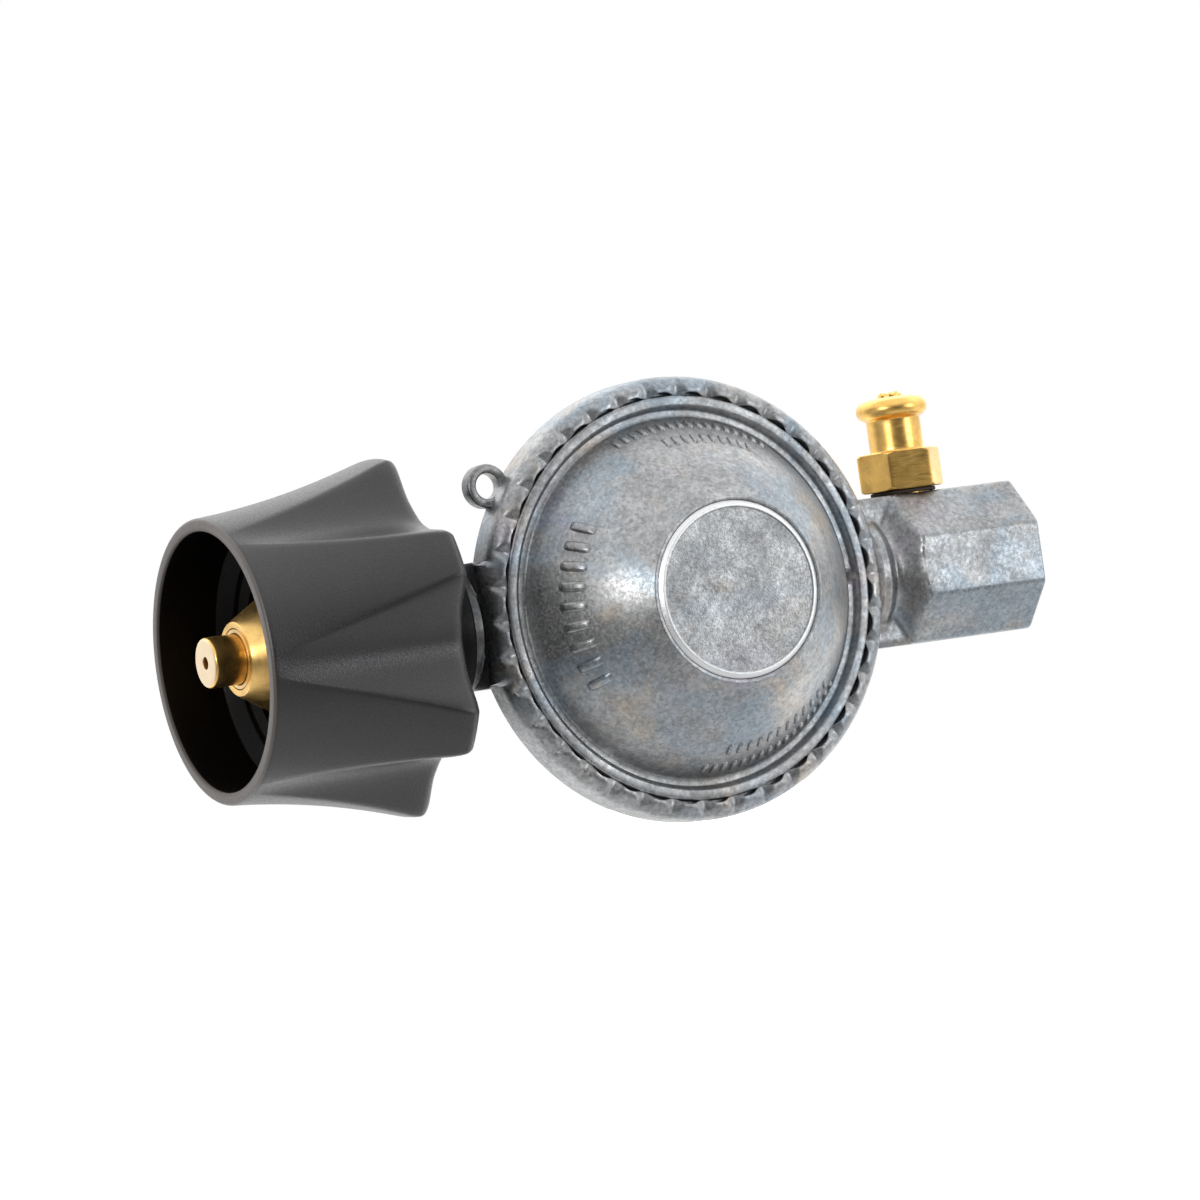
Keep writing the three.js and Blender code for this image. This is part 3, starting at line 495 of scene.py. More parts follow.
innerFinish = {
    "adjuster": palePlastic, "main_spring": platedSteel, "diaphragm": darkRubber,
    "diaphragm_plate": platedSteel, "relief_stem": satinBrass, "relief_retainer": platedSteel,
    "relief_spring": platedSteel, "lever": platedSteel, "valve_seat": darkRubber,
    "lever_pin": platedSteel, "pin_clamp_a": platedSteel, "pin_clamp_b": platedSteel,
    "clamp_screw_a": platedSteel, "clamp_screw_b": platedSteel, "orifice": satinBrass,
    "inlet_filter": satinBrass, "flow_ball": platedSteel, "flow_spring": platedSteel,
}
for nodeName, material in innerFinish.items():
    mesh = frame["nodes"][nodeName].data
    mesh.materials.clear()
    mesh.materials.append(material)

rimSet = dict(
    rim=reach("body", 2, 1), wallBack=-5.3, shoulder=-9.2, lip=32.35, lipFront=-12.25, lipUnder=-11.2,
    pocket=33.4, seat=-7.6, chamber=29.3, floor=6.6, back=11.5, backRadius=13,
    bulge=3, lipRound=0.3, lipTop=0.35,
    dents=38, dentSides=14, dentDepth=0.95, dentHalf=1.75, dentLong=3.0, dentUnder=1.2,
    scallop=0.42, scallopLong=1.3, flat=-35.4, flatHalf=10,
)


def makeRim():
    # Revolved shell about the diaphragm axis. On the rolled edge each dent pushes the skin down and in by
    # depth * (1 - s / long) * (1 - |w| / half(s)), s the way from the lip, w the way round the rim.
    v = rimSet
    arc = np.linspace(0, 1, 14)[:, None]
    foot, top = np.array([v["rim"] - 1.6, v["wallBack"] + 1.1]), np.array([v["backRadius"], v["back"]])
    side = unit(np.array([foot[1] - top[1], top[0] - foot[0]]))
    bowl = top + (foot - top) * arc - side * v["bulge"] * 4 * arc * (1 - arc)
    back = rounded([(0.6, v["back"], 0), (v["backRadius"], v["back"], 1.2), *[(*p, 0) for p in bowl[2:]],
                    (v["rim"], v["wallBack"], 0.7), (v["rim"], v["shoulder"], 0)], spacing=1.6)
    turn = np.linspace(0, pi / 2, 20)[:, None]
    flatTop = v["lip"] + v["lipTop"]
    bend = np.hstack([flatTop + (v["rim"] - flatTop) * np.cos(turn),
                      v["shoulder"] + (v["lipFront"] - v["shoulder"]) * np.sin(turn)])
    edge = rounded([(*bend[-1], 0), (v["lip"], v["lipFront"], v["lipRound"]), (v["lip"], v["lipUnder"], 0)],
                   steps=6, spacing=0.2)
    roll = np.vstack([bend, edge[1:]])
    under = rounded([(v["lip"], v["lipUnder"], 0), (v["pocket"], v["lipUnder"], 0.1), (v["pocket"], v["seat"], 0.1),
                     (v["chamber"], v["seat"], 0.3), (v["chamber"], -5.8, 2), (v["backRadius"], v["floor"], 3),
                     (0.6, v["floor"], 0)], spacing=2.2)
    line = np.vstack([back[:-1], roll, under[1:]])
    sides = v["dents"] * v["dentSides"]
    angle = np.linspace(0, 2 * pi, sides, endpoint=False)[None, :]
    # the wall and shoulder grow out to a flat where the inlet boss leaves, less and less toward the lip
    reachOut = np.where(np.cos(angle) < 0, v["flat"] / np.minimum(np.cos(angle), -0.5), v["rim"])
    onFlat = smoothStep((v["flatHalf"] - np.abs(reachOut * np.sin(angle))) / 0.4) * (np.cos(angle) < 0)
    grow = np.clip((line[:, 0:1] - v["lip"]) / (v["rim"] - v["lip"]), 0, 1) ** 8
    grow = np.where(line[:, 1:2] > v["wallBack"] + 0.2, 0, grow) * (line[:, 1:2] < v["wallBack"] + 0.3)
    grow = np.where(np.arange(len(line))[:, None] >= len(back) + len(roll), 0, grow)
    radius = line[:, 0:1] + grow * onFlat * (reachOut - v["rim"])
    grid = place(line[:, 1:2], radius, angle, "y")
    lipRow = len(back) - 1 + len(bend) + 4
    step = np.linalg.norm(np.diff(line, axis=0), axis=1)
    run = np.concatenate([[0], np.cumsum(step)])
    s = np.abs(run - run[lipRow])[:, None]
    inner = (np.arange(len(line)) > lipRow)[:, None]
    pitch = 2 * pi / v["dents"]
    w = np.abs((angle / pitch + 0.5) % 1 - 0.5) * pitch * v["lip"]
    fade = np.clip(1 - s / v["dentLong"], 0, 1)
    fade = np.where(inner, np.clip(1 - s / v["dentUnder"], 0, 1), fade)
    width = v["dentHalf"] * np.maximum(fade, 0.05)
    across = np.clip(1 - w / width, 0, 1)
    depth = v["dentDepth"] * fade * across * (1 - 0.15 * across ** 4)
    wave = 0.5 + 0.5 * np.cos(2 * pi * w / (pitch * v["lip"]))
    wave = v["scallop"] * np.clip(1 - s / v["scallopLong"], 0, 1) * wave
    inward = -0.3 * depth - wave
    grid[..., 0] += inward * np.cos(angle)
    grid[..., 2] += inward * np.sin(angle)
    grid[..., 1] += 0.85 * depth
    return skin("rimShell", grid, poles=(True, True))


inletSet = dict(
    radius=10.2, face=-45.8, padFace=-35.3, padHalf=9.9, padFront=-9.1, padBack=7, padRound=1.4,
    edge=0.5, bore=6.6, port=0.6, foot=-22,
)


def makeInletBoss():
    # Round boss about the inlet axis whose section swells to a rounded block where it meets the rim.
    v = inletSet
    floor = v["face"] + v["port"]
    line = rounded([(0.4, floor, 0), (v["bore"], floor, 0), (v["bore"], v["face"], 0.2),
                    (v["radius"], v["face"], v["edge"]), (v["radius"], -36.2, 0)], spacing=0.7)
    step = np.array([(v["radius"], x) for x in np.arange(-36, -34.6, 0.1)])
    line = np.vstack([line, step, [(v["radius"], -30), (v["radius"], v["foot"]), (0.4, v["foot"])]])
    angle = np.linspace(0, 2 * pi, 144, endpoint=False)[None, :]
    c, s = np.cos(angle), np.sin(angle)
    up = v["padHalf"] / np.maximum(np.abs(s), 1e-3)
    front = np.where(c > 0, -v["padFront"], v["padBack"]) / np.maximum(np.abs(c), 1e-3)
    block = smoothMin(up, front, v["padRound"])
    x, r = line[:, 1:2], line[:, 0:1]
    share = smoothStep((x - v["padFace"] + 0.35) / 0.4)
    swollen = r / v["radius"] * ((1 - share) * v["radius"] + share * block)
    radius = np.where(r > v["bore"] + 0.3, swollen, r)
    return skin("inletBoss", place(x, radius, angle, "x"), poles=(True, True))


outletSet = dict(
    half=12, start=41.6, end=reach("body", 0, 1), bevelSlope=1.6, bevelRadius=11.05, edge=0.5,
    neck=9.9, neckEnd=38.2, waist=8.1, webFront=5, webBack=8, socket=7.5, crest=8.25, pitch=1.337,
    depth=12, passage=4.5, passageEnd=32, root=1.3, most=13.4, sinkFrom=27, sinkSlope=0.42,
    innerWall=33.5, keepBack=6.2, columns=184, sharp=70, threadStep=0.21,
)


def makeOutletBoss():
    # Radius about the inlet axis as a field of angle and station: an octagon with a bevelled root,
    # a round neck with a bead, and a flat web above and below, blended by soft maxima.
    v = outletSet
    angle = np.linspace(0, 2 * pi, v["columns"], endpoint=False)[None, :]
    c, s = np.cos(angle), np.sin(angle)
    normals = np.arange(8)[:, None] * pi / 4
    octagon = v["half"] * polygon(angle, normals, v["sharp"])
    x = np.concatenate([np.linspace(14, 36, 12), np.arange(36.3, 45.5, 0.3),
                        np.arange(46.2, v["end"] - 0.7, 0.9)])[:, None]
    bead = v["waist"] + (v["neck"] - v["waist"]) * smoothStep((v["neckEnd"] + 1.5 - x) / 2.6)
    web = smoothMin(v["half"] / np.maximum(np.abs(s), 1e-3),
                    np.where(c > 0, v["webFront"], v["webBack"]) / np.maximum(np.abs(c), 1e-3), 1.0)
    neck = smoothMax(bead, np.minimum(web, 13.2), 1.2)
    bevel = v["bevelRadius"] + v["bevelSlope"] * (x - v["start"])
    root = smoothMin(octagon, bevel, 0.35)
    radius = smoothMax(neck, root, 2.4)
    radius = np.minimum(radius, octagon + 0.02)
    wall = np.sqrt(rimSet["rim"] ** 2 - np.minimum(radius * s, 30) ** 2)
    gap = np.clip(v["root"] - (x - wall), 0, v["root"])
    radius = np.minimum(radius + v["root"] - np.sqrt(np.maximum(v["root"] ** 2 - gap ** 2, 0)), v["most"])
    # inside the bowl it tapers away under the back and stays behind the diaphragm
    radius = radius - v["sinkSlope"] * np.clip(v["sinkFrom"] - x, 0, None)
    radius = np.where(x < v["innerWall"], np.minimum(radius, v["keepBack"] / np.maximum(c, 0.05)), radius)
    rows = [place(x, radius, angle, "x")]
    face = rounded([(v["half"], v["end"] - 0.75, 0), (v["half"], v["end"], v["edge"]),
                    (v["socket"] + 1.3, v["end"], 0.15)], steps=6)
    for r, at in face[1:]:
        ring = octagon * r / v["half"] if r > 10.6 else np.full_like(octagon, r)
        rows.append(place(np.array([[at]]), ring, angle, "x"))
    depth = np.arange(0.9, v["depth"], v["threadStep"])[:, None]
    phase = (depth / v["pitch"] - angle / (2 * pi)) % 1
    tooth = np.clip(1.25 - 2.5 * np.abs(2 * phase - 1), 0, 1)
    tall = v["crest"] - v["socket"]
    lead = np.clip((2.6 - depth) / 2.6, 0, 1) * tall
    cut = tall * tooth * smoothStep((v["depth"] - depth) / 2)
    thread = v["socket"] + np.maximum(cut, lead)
    rows.append(place(v["end"] - depth, thread, angle, "x"))
    bottom = v["end"] - v["depth"]
    floor = rounded([(v["socket"] - 0.2, bottom, 0), (v["passage"], bottom - 0.6, 0.2),
                     (v["passage"], v["passageEnd"], 0), (0.5, v["passageEnd"], 0)], spacing=3)
    rows.append(turned(floor, v["columns"], "x"))
    return skin("outletBoss", np.concatenate(rows), poles=(True, True))


lugSet = dict(x=-30.0, z=21.4, radius=3.45, hole=2.0, front=-7.4, back=-4.6, webHalf=2.3, webLong=6.2, edge=0.45)


def makeLug():
    # Eye: a rounded section carried round the hole, its outer radius drawn out into a web to the rim.
    v = lugSet
    toRim = atan2(-v["z"], -v["x"])
    angle = np.linspace(0, 2 * pi, 96, endpoint=False)[None, :]
    off = angle - toRim
    along, across = np.cos(off), np.abs(np.sin(off))
    bar = smoothMin(v["webLong"] / np.maximum(along, 1e-3), v["webHalf"] / np.maximum(across, 1e-3), 0.5)
    web = np.where(along > 0, bar, 0)
    outer = smoothMax(np.full_like(web, v["radius"]), web, 0.8)
    ring = rounded([(v["hole"], v["front"], v["edge"]), (v["hole"], v["back"], v["edge"]),
                    (v["radius"], v["back"], v["edge"]), (v["radius"], v["front"], v["edge"])], steps=4, loop=True)
    share = ((ring[:, 0] - v["hole"]) / (v["radius"] - v["hole"]))[:, None]
    radius = v["hole"] + (outer - v["hole"]) * share
    return skin("lug", place(ring[:, 1:2], radius, angle, "y"), loop=True, centre=(v["x"], 0, v["z"]))


def joinSolids(main, others):
    # union of closed shells, so that the casting is one skin
    for other in others:
        cut = main.modifiers.new("join", "BOOLEAN")
        cut.operation = "UNION"
        cut.solver = "MANIFOLD"
        cut.object = other
    bpy.context.view_layer.update()
    graph = bpy.context.evaluated_depsgraph_get()
    mesh = bpy.data.meshes.new_from_object(main.evaluated_get(graph))
    main.modifiers.clear()
    main.data = mesh
    for other in others:
        bpy.data.objects.remove(other)
    mesh.shade_smooth()
    mesh.set_sharp_from_angle(angle=radians(32))
    return main


casting = joinSolids(makeRim(), [makeInletBoss(), makeOutletBoss(), makeLug()])
casting.name = "housingCasting"
finish(casting, "body", castZinc)
print("casting made,", len(casting.data.polygons), "faces")

coverSet = dict(
    flange=33.1, flangeBack=-8.7, flangeFront=-10.6, bandOut=31.8, bandIn=30.15, bandFront=-12.0,
    recess=29.6, recessFloor=-10.9, foot=(28.4, -10.9), top=(14.75, -28.0), bulge=1.35, wall=2.0,
    collar=13.95, capSeat=-26.3, neck=12.2, sides=288, ventHalf=1.3, ventDepth=0.9,
)


def domeLine(t):
    # (radius, along) points of the dome's side from its foot, t = 0, to its top, and the way into the metal
    v = coverSet
    foot, top = np.array(v["foot"]), np.array(v["top"])
    side = unit(np.array([top[1] - foot[1], foot[0] - top[0]]))
    t = np.asarray(t)[..., None]
    return foot + (top - foot) * t - side * v["bulge"] * 4 * t * (1 - t), side


def makeCover():
    # Revolved shell: flange, raised band, groove, a dome whose side is a shallow arc, and the cap's collar.
    v = coverSet
    foot = np.array(v["foot"])
    dome, side = domeLine(np.linspace(0, 1, 40))
    inner = dome[::4] + side * v["wall"]
    outline = [(foot[0] - v["wall"], v["flangeBack"], 0), (v["flange"], v["flangeBack"], 0.1),
               (v["flange"], v["flangeFront"], 0.1), (v["bandOut"] + 0.1, v["flangeFront"], 0.1),
               (v["bandOut"], v["bandFront"], 0.45), (v["bandIn"], v["bandFront"], 0.45),
               (v["recess"], v["recessFloor"], 0.3), (foot[0] + 0.1, v["recessFloor"] - 0.02, 0.7)]
    outline += [(*p, 0) for p in dome[1:-1]]
    outline += [(14.55, -28.25, 0.25), (v["collar"], -28.2, 0.12), (v["collar"], v["capSeat"], 0.05),
                (v["neck"], v["capSeat"], 0), (v["neck"], -17.9, 0.1), (14.2, -17.9, 0.1), (14.2, -24, 0.5)]
    outline += [(*p, 0) for p in inner[::-1][2:-1]]
    line = rounded(outline, steps=4, spacing=0.9, loop=True)
    grid = turned(line, v["sides"], "y")
    # the breather's slot sinks into the foot of the dome on the outlet's side
    angle = np.linspace(0, 2 * pi, v["sides"], endpoint=False)[None, :]
    arc = np.abs((angle + pi) % (2 * pi) - pi) * v["recess"]
    slot = smoothStep((v["ventHalf"] - arc) / 0.25)
    r, y = line[:, 0:1], line[:, 1:2]
    onFoot = smoothStep((r - 27.2) / 0.3) * smoothStep((29.3 - r) / 0.3) * (y < v["recessFloor"] + 0.1)
    grid[..., 1] += v["ventDepth"] * slot * onFoot
    return skin("cover", grid, loop=True)


finish(makeCover(), "cover", castZinc)

markSet = dict(
    height=0.40, sunk=0.4, columns=28,
    size=(0.05, 1.1, 1.1, 1.0, 0.85, 0.62, 0.36, 0.05),    # of a bar's outline, from its root to its back
    rise=(0, 0.3, 0.66, 0.87, 0.97, 1.0),    # shares of the height, from the skin up
    rows=(
        # share up the dome, first and last angle in degrees, bars, length and width of one in mm
        (0.40, 208, 148, 9, 4.4, 1.5),
        (0.14, 112, 56, 17, 2.4, 0.9),
        (0.36, 98, 64, 10, 2.4, 0.9),
        (0.14, 264, 322, 17, 2.4, 0.9),
        (0.36, 270, 318, 12, 2.4, 0.9),
    ),
)


def makeMarks():
    # Plain raised bars in rows round the dome. Each is a rounded rectangle |a|^4 + |b|^4 = 1 laid on the
    # dome, rising from below the skin to a rounded back.
    v = markSet
    turn = np.linspace(0, 2 * pi, v["columns"], endpoint=False)
    a = np.sign(np.cos(turn)) * np.abs(np.cos(turn)) ** 0.5
    b = np.sign(np.sin(turn)) * np.abs(np.sin(turn)) ** 0.5
    size = np.array(v["size"])[:, None]
    lift = np.array([-v["sunk"], -v["sunk"], *(v["height"] * np.array(v["rise"]))])[:, None]
    slope = np.linalg.norm(np.array(coverSet["top"]) - np.array(coverSet["foot"]))
    grids = []
    for share, first, last, count, tall, wide in v["rows"]:
        for middleAngle in np.radians(np.linspace(first, last, count)):
            spot, side = domeLine(share + size * b * tall / 2 / slope)
            radius = spot[..., 0] - lift * side[0]
            along = spot[..., 1] - lift * side[1]
            angle = middleAngle + size * a * wide / 2 / radius
            grids.append(place(along, radius, angle, "y"))
    return shells("coverMarks", grids)


marks = makeMarks()
marks.data.materials.append(castZinc)
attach(marks, frame["nodes"]["cover"]["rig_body"])

capSet = dict(
    edge=13.9, back=-26.4, front=reach("seal_cap", 1, -1) + 0.04, face=12.9, bevel=0.58, sink=0.09, wave=0.03,
)


def makeCap():
    # Disc with a bright bevelled rim. Its face waves by a product of a sine and a cosine plus a finer sine.
    v = capSet
    floor = v["front"] + v["sink"]
    line = rounded([(0.3, v["back"], 0), (v["edge"], v["back"], 0.1), (v["edge"], v["front"] + v["bevel"], 0.15),
                    (v["face"] + 0.35, v["front"], 0.3), (v["face"], v["front"], 0.15),
                    (v["face"] - 0.2, floor, 0.15), (0.3, floor, 0)], steps=5, spacing=0.5)
    grid = turned(line, 256, "y")
    x, z = grid[..., 0], grid[..., 2]
    front = (line[:, 1:2] < v["front"] + 0.26) & (line[:, 0:1] < v["face"] - 0.3)
    wave = np.sin(0.9 * x + 0.4) * np.cos(0.8 * z) + 0.5 * np.sin(2.1 * x - 1.7 * z)
    grid[..., 1] += front * v["wave"] * wave
    return skin("sealCap", grid, poles=(True, True))


finish(makeCap(), "seal_cap", capZinc)
print("cover and cap made")

wheelSet = dict(
    mouth=reach("hand_nut", 0, -1), end=-44.6, mouthRadius=22.2, flare=0.0655, flareSquare=0.00418,
    crestMost=28.0, edge=1.9, lobes=6, phase=24.0, mouthHalf=4.1, endHalf=22.5, bow=1.0, floor=21.4,
    mouthRound=0.5, recess=(19.2, 18.6, 18.2), recessDepth=1.3,
    hub=13.0, hubEnd=reach("hand_nut", 0, 1) - 0.15, bore=10.6, webFace=-48.3,
    threadStart=-64.6, minor=15.5, major=17.0, pitch=5.08, threadStep=0.32, skirt=20.2,
    scoopSteps=26, crestSteps=18,
)


def wheelSection(along):
    # angles and radii of one outer ring per row: crest arcs, then scoops with radius
    # floor + (crest - floor) * share^2, share from -1 to 1 across the scoop
    v = wheelSet
    length = v["end"] - v["mouth"]
    share = along / length
    half = v["mouthHalf"] + (v["endHalf"] - v["mouthHalf"]) * share + v["bow"] * 4 * share * (1 - share)
    half = np.radians(half)
    crest = v["mouthRadius"] + v["flare"] * along + v["flareSquare"] * along ** 2
    crest = smoothMin(crest, np.full_like(crest, v["crestMost"] + 0.05), 0.5)
    floor = v["mouthRadius"] + (v["floor"] - v["mouthRadius"]) * share
    pitch = 2 * pi / v["lobes"]
    across = np.linspace(-1, 1, v["scoopSteps"], endpoint=False)[None, :]
    over = np.linspace(0, 1, v["crestSteps"], endpoint=False)[None, :]
    angles = np.concatenate([across * half, half + (pitch - 2 * half) * over], axis=1)
    radii = np.concatenate([floor + (crest - floor) * across ** 2, crest + 0 * over], axis=1)
    turns = radians(v["phase"]) + pitch * (np.arange(v["lobes"]) + 0.5)
    angles = (turns[None, :, None] + angles[:, None, :]).reshape(len(along), -1)
    radii = np.tile(radii, (1, v["lobes"]))
    soft = (np.roll(radii, 1, 1) + np.roll(radii, -1, 1) + 2 * radii) / 4    # takes the knife edge off the ridges
    return angles, soft


def makeWheel():
    # Outer rings from mouth to end, then the rear face, the hub, the web, a thread and the skirt back to the
    # mouth. The thread's radius is minor + (major - minor) * tooth, tooth a clipped wave of turns along.
    v = wheelSet
    length, soft = v["end"] - v["mouth"], v["mouthRound"]
    lead = np.array([0.0, 0.04, 0.14, 0.3, 0.5])
    turn = np.linspace(0, 1, 9)
    middleRows = np.linspace(1.0, length - v["edge"], 44)
    along = np.concatenate([lead, middleRows, length - v["edge"] * (1 - turn[1:])])[:, None]
    angles, radii = wheelSection(along)
    mouthDrop = soft - np.sqrt(np.maximum(soft ** 2 - (soft - np.minimum(along, soft)) ** 2, 0))
    share = np.clip((along - (length - v["edge"])) / v["edge"], 0, 1)
    endDrop = v["edge"] * (1 - np.sqrt(1 - share ** 2)) * (0.35 + 0.65 * smoothStep((radii - v["floor"]) / 3))
    outer = place(v["mouth"] + along, radii - mouthDrop - endDrop, angles, "x")
    rows = [outer]
    endRadius, endAngle = (radii - mouthDrop - endDrop)[-1:], angles[-1:]
    rimIn, recessOut, recessIn = v["recess"]
    for k in (0.08, 0.24, 0.6, 1.0):
        rows.append(place(np.full((1, 1), v["end"]), endRadius + (rimIn - endRadius) * k, endAngle, "x"))
    recessFloor, groove = v["end"] - v["recessDepth"], v["major"] + 0.3
    inward = rounded([(rimIn, v["end"], 0), (recessOut, v["end"], 0.15), (recessIn, recessFloor, 0.4),
                      (v["hub"], recessFloor, 0.4), (v["hub"], v["hubEnd"], 0.5), (v["bore"], v["hubEnd"], 0.4),
                      (v["bore"], v["webFace"], 0.3), (groove, v["webFace"], 0.4),
                      (groove, v["webFace"] - 2, 0.4), (v["minor"], v["webFace"] - 3, 0)], steps=3, spacing=1.2)[1:]
    rows.append(place(inward[:, 1:2], inward[:, 0:1], endAngle, "x"))
    station = np.arange(v["webFace"] - 3.2, v["threadStart"] + 0.6, -v["threadStep"])[:, None]
    phase = (station / v["pitch"] - endAngle / (2 * pi)) % 1
    tooth = np.clip(1.5 - 3.2 * np.abs(2 * phase - 1), 0, 1)
    fade = smoothStep((v["webFace"] - 3 - station) / 2) * smoothStep((station - v["threadStart"]) / 1.2)
    rows.append(place(station, v["minor"] + (v["major"] - v["minor"]) * tooth * fade, endAngle, "x"))
    shelf = v["threadStart"] - 0.6
    out = rounded([(v["minor"], v["threadStart"] + 0.5, 0), (v["minor"] + 1.2, shelf, 0.3),
                   (v["minor"] + 2.6, shelf, 0.2), (v["skirt"], shelf - 2, 0.4), (v["skirt"], v["mouth"], 0.35),
                   (21.2, v["mouth"], 0)], steps=4, spacing=1.5)
    blend = np.linspace(0, 1, len(out))[:, None]
    rows.append(place(out[:, 1:2], out[:, 0:1], endAngle + (angles[:1] - endAngle) * blend, "x"))
    return skin("handWheel", np.concatenate(rows), loop=True, smooth=42)


wheel = finish(makeWheel(), "hand_nut", blackGrain)
print("hand wheel made,", len(wheel.data.polygons), "faces")

noseSet = dict(
    face=-axisX, faceRadius=5.75, radius=9.2, half=30.7, land=3.7, shank=8.0, ring=4.75, ringIn=4.0,
    collar=12.0, collarBack=-51.0, collarThick=2.5, port=6.5, portFace=-45.95, back=-28.6, bore=2.4, deep=8,
    probe=3.92, probeFace=reach("nose_probe", 0, -1), gasHole=1.0, probeFoot=4.7, probeBore=2.6,
)


def makeNose():
    # Turned profile. The cone runs from the face at the angle half out to the radius, then come a short
    # land, the shank and the collar that the hand wheel pulls on.
    v = noseSet
    coneEnd = v["face"] + (v["radius"] - v["faceRadius"]) / np.tan(radians(v["half"]))
    seat, inner, wide = v["ring"] + 0.05, v["face"] + v["deep"], v["shank"] + 0.2
    landEnd, collarFront = coneEnd + v["land"], v["collarBack"] - v["collarThick"]
    body = rounded([(seat, inner, 0), (seat, v["face"], 0.12), (v["faceRadius"], v["face"], 0.25),
                    (v["radius"], coneEnd, 0.9), (v["radius"], landEnd, 0.5), (v["shank"], landEnd + 1, 0.4),
                    (v["shank"], collarFront, 0.3), (v["collar"], collarFront, 0.3),
                    (v["collar"], v["collarBack"], 0.3), (wide, v["collarBack"], 0.2),
                    (wide, v["portFace"], 0.2), (v["port"], v["portFace"], 0.2), (v["port"], v["back"], 0.4),
                    (v["bore"], v["back"], 0.2), (v["bore"], inner, 0)],
                   steps=5, spacing=1.0, loop=True)
    return skin("inletNose", turned(body, 128, "x"), loop=True)


def makeRing():
    # Turned tube between probe and nose, with rounded front edges.
    v = noseSet
    inside, outside = v["ringIn"] + 0.05, v["ring"] - 0.08
    front, back = v["face"] + 0.05, v["face"] + 3
    line = rounded([(inside, back, 0), (inside, front, 0.1), (outside, front, 0.1), (outside, back, 0)],
                   steps=4, loop=True)
    return skin("noseRing", turned(line, 96, "x"), loop=True)


def makeProbe():
    # Turned tube: a narrow gas hole in its tip, a wider bore behind and a foot inside the nose.
    v = noseSet
    tip, step, foot = v["probeFace"], v["face"] + 3.2, v["face"] + 9.4
    line = rounded([(v["gasHole"], tip, 0.12), (v["probe"], tip, 0.5), (v["probe"], step, 0.1),
                    (v["probeFoot"], step, 0.1), (v["probeFoot"], foot, 0.1), (v["probeBore"], foot, 0.1),
                    (v["probeBore"], tip + 3, 0.1), (v["gasHole"], tip + 2, 0.1)],
                   steps=5, spacing=0.8, loop=True)
    return skin("noseProbe", turned(line, 96, "x"), loop=True)


finish(makeNose(), "inlet_nipple", satinBrass)
finish(makeRing(), "nose_ring", paleBrass)
finish(makeProbe(), "nose_probe", probeBrass)


def makeBush():
    # Turned ring of four rounded corners, as long and as wide as the CAD's.
    a, b, r = reach("thermal_bush", 0, -1), reach("thermal_bush", 0, 1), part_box("thermal_bush")[1].z / mm
    line = rounded([(8.6, a, 0.2), (r, a, 0.3), (r, b, 0.3), (8.6, b, 0.2)], steps=3, loop=True)
    return skin("thermalBush", turned(line, 96, "x"), loop=True)


finish(makeBush(), "thermal_bush", bushBrown)
print("nose made")

nippleSet = dict(
    x=47.0, base=12.0, hexLow=0.8, hexTop=7.0, across=12.0, turn=-13.0, chamfer=0.5, sharp=110, columns=192,
    stub=4.35, bead=5.75, beadHalf=1.6, beadHeight=13.9, bore=2.1, spigot=4.15, spigotEnd=-5.2, hole=0.9,
)


def makeNipple():
    # Rows of (radius, height) round the axis; on the hexagon's rows the radius is the smaller of the
    # six-sided outline and a chamfer cone.
    v = nippleSet
    low, top, half = v["hexLow"], v["hexTop"], v["across"] / 2
    angle = np.linspace(0, 2 * pi, v["columns"], endpoint=False)[None, :]
    normals = radians(v["turn"]) + pi / 6 + np.arange(6)[:, None] * pi / 3
    outline = half * polygon(angle, normals, v["sharp"])
    zs = np.concatenate([np.linspace(low, low + 0.9, 8), np.linspace(low + 1.4, top - 1.4, 6),
                         np.linspace(top - 0.9, top, 8)])[:, None]
    edge = np.minimum(zs - low, top - zs)
    cone = half / cos(pi / 6) - v["chamfer"] * 1.15 + 1.75 * edge
    hexRadius = smoothMin(outline + 0 * zs, cone + 0 * outline, 0.12)
    hexRadius = hexRadius - 0.12 * np.clip(1 - edge / 0.12, 0, 1)
    lower = rounded([(v["hole"], v["spigotEnd"], 0), (v["spigot"], v["spigotEnd"], 0.3),
                     (v["spigot"], low, 0.05), (4.6, low, 0)], spacing=1.5)
    r, middle = v["beadHalf"], v["beadHeight"]
    bead = [(v["bead"] - r + r * cos(t), middle + r * sin(t), 0) for t in np.linspace(-pi / 2, pi / 2, 17)]
    upper = rounded([(4.9, top, 0), (v["stub"], top, 0.35), (v["stub"], middle - r - 0.05, 0.25), *bead[2:],
                     (v["bore"] + 1.0, middle + r + 0.28, 0.6), (v["bore"], middle + r + 0.3, 0.15),
                     (v["bore"], top + 1.6, 0.1), (v["hole"], top + 1.0, 0.1)], steps=4, spacing=0.7)
    grid = np.concatenate([turned(lower, v["columns"], "z"), place(zs, hexRadius, angle, "z"),
                           turned(upper, v["columns"], "z")])
    return skin("testNipple", grid, loop=True, centre=(v["x"], 0, v["base"]), smooth=38)


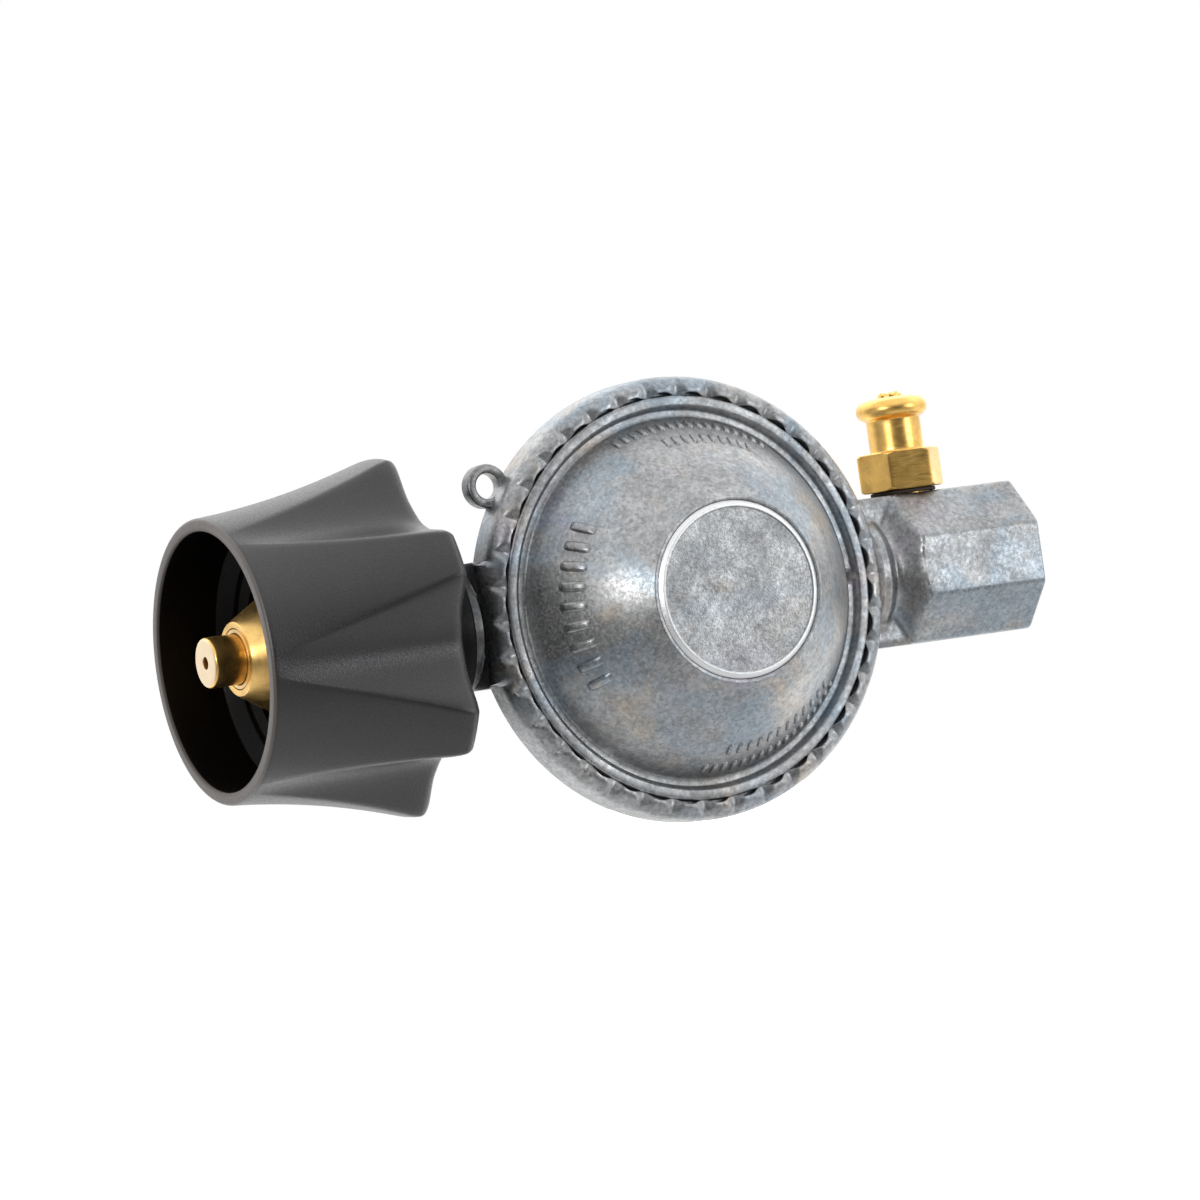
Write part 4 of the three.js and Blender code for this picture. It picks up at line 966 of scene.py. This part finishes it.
def makeTestScrew():
    # Plain screw with a worn, ragged head: its top rises and falls by two sines, and a slot crosses it.
    v = nippleSet
    top = reach("test_screw", 2, 1) - v["base"]
    foot = v["hexTop"] + 1.8
    line = rounded([(0.1, foot, 0), (1.95, foot, 0.2), (1.95, top - 0.5, 0.2), (1.5, top - 0.15, 0.15),
                    (0.1, top - 0.35, 0)], steps=4, spacing=0.25)
    grid = turned(line, 96, "z")
    angle = np.linspace(0, 2 * pi, 96, endpoint=False)[None, :]
    r, z = line[:, 0:1], line[:, 1:2]
    teeth = 0.16 * np.sin(9 * angle + 0.7) + 0.09 * np.sin(17 * angle)
    upper = smoothStep((z - top + 1.0) / 0.5)
    slot = 0.65 * smoothStep((0.42 - np.abs(r * np.sin(angle + 0.5))) / 0.12)
    grid[..., 2] += upper * (teeth * smoothStep(r / 1.6) - slot - 0.1)
    return skin("testScrew", grid, poles=(True, True), centre=(v["x"], 0, v["base"]), smooth=30)


def makeWasher():
    # Turned ring of four rounded corners under the hexagon.
    line = rounded([(4.3, 0.1, 0.1), (5.25, 0.1, 0.25), (5.25, 0.72, 0.25), (4.3, 0.72, 0.1)],
                   steps=4, loop=True)
    return skin("testWasher", turned(line, 96, "z"), loop=True, centre=(nippleSet["x"], 0, nippleSet["base"]))


finish(makeNipple(), "test_nipple", goldBrass)
finish(makeTestScrew(), "test_screw", goldBrass)
finish(makeWasher(), "test_washer", fibreBrown)
print("test nipple made")

stageSet = dict(floorDrop=18, floorHalf=1600, floorColour=(0.9, 0.9, 0.9), floorGlow=1.0)


def makeFloor():
    # Flat pale square below the part, between four corners.
    v = stageSet
    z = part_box("body")[0].z - v["floorDrop"] * mm
    h = v["floorHalf"] * mm
    mesh = bpy.data.meshes.new("floor")
    mesh.from_pydata([(-h, -h, z), (h, -h, z), (h, h, z), (-h, h, z)], [], [(0, 1, 2, 3)])
    n = Nodes("floorPale")
    grain = n.noise(40, 2, 0.5)
    n.set(Base_Color=n.mix(n.range(grain, 0, 0.05), v["floorColour"], (0.8, 0.8, 0.8)), Roughness=0.9,
          Emission_Color=(1, 1, 1), Emission_Strength=v["floorGlow"])
    mesh.materials.append(n.mat)
    obj = bpy.data.objects.new("floor", mesh)
    bpy.context.scene.collection.objects.link(obj)
    obj.visible_diffuse = False
    obj.visible_glossy = False


makeFloor()

lampSet = {
    # name: (place from the part's middle in mm, size in mm, power in W, colour)
    "sideLeft": ((-746, -542, 185), 150, 2.8, (1, 0.99, 0.97)),
    "fillRight": ((640, -900, 60), 460, 3.0, (0.96, 0.98, 1)),
}


def addLamp(name, spot, size, power, colour):
    light = bpy.data.lights.new(name, "AREA")
    light.shape = "DISK"
    light.size = size * mm
    light.energy = power
    light.color = colour
    obj = bpy.data.objects.new(name, light)
    target = Vector((axisX, 0, 0)) * mm
    obj.location = target + Vector(spot) * mm
    obj.rotation_euler = (target - obj.location).to_track_quat("-Z", "Y").to_euler()
    bpy.context.scene.collection.objects.link(obj)


for lampName, (spot, size, power, colour) in lampSet.items():
    addLamp(lampName, spot, size, power, colour)

roomSet = dict(
    seen=1.0, dim=0.038,    # the white seen behind the part, and the dim room in front of it
    above=(0.0, 0.85, 1.35), behind=(0.15, 0.8, 1.15),    # from, to, brightness
    below=(0.1, 0.85, 0.88), right=(0.45, 0.92, 1.1),
)


def makeRoom():
    # soft light from above, a white sweep behind, a little from below, and a dim front
    v = roomSet
    world = bpy.data.worlds.new("paleRoom")
    world.use_nodes = True
    tree = world.node_tree

    def step(source, low, high, value):
        node = tree.nodes.new("ShaderNodeMapRange")
        node.interpolation_type = "SMOOTHSTEP"
        tree.links.new(source, node.inputs["Value"])
        for name, number in (("From Min", low), ("From Max", high), ("To Min", 0.0), ("To Max", value)):
            node.inputs[name].default_value = number
        return node.outputs["Result"]

    def math(kind, a, b):
        node = tree.nodes.new("ShaderNodeMath")
        node.operation = kind
        for value, socket in ((a, node.inputs[0]), (b, node.inputs[1])):
            if isinstance(value, bpy.types.NodeSocket):
                tree.links.new(value, socket)
            else:
                socket.default_value = value
        return node.outputs[0]

    way = tree.nodes.new("ShaderNodeSeparateXYZ")
    tree.links.new(tree.nodes.new("ShaderNodeTexCoord").outputs["Generated"], way.inputs["Vector"])
    up, back, right = way.outputs["Z"], way.outputs["Y"], way.outputs["X"]
    light = math("ADD", step(up, *v["above"]), step(back, *v["behind"]))
    light = math("ADD", light, step(math("MULTIPLY", up, -1.0), *v["below"]))
    light = math("ADD", math("ADD", light, step(right, *v["right"])), v["dim"])
    seen = tree.nodes.new("ShaderNodeLightPath").outputs["Is Camera Ray"]
    unseen = math("MULTIPLY", math("SUBTRACT", 1.0, seen), light)
    whole = math("ADD", math("MULTIPLY", seen, v["seen"]), unseen)
    sky = tree.nodes["Background"]
    sky.inputs["Color"].default_value = (1, 1, 1, 1)
    tree.links.new(whole, sky.inputs["Strength"])
    bpy.context.scene.world = world
    bpy.context.scene.view_settings.view_transform = "Standard"


makeRoom()
print("stage set")
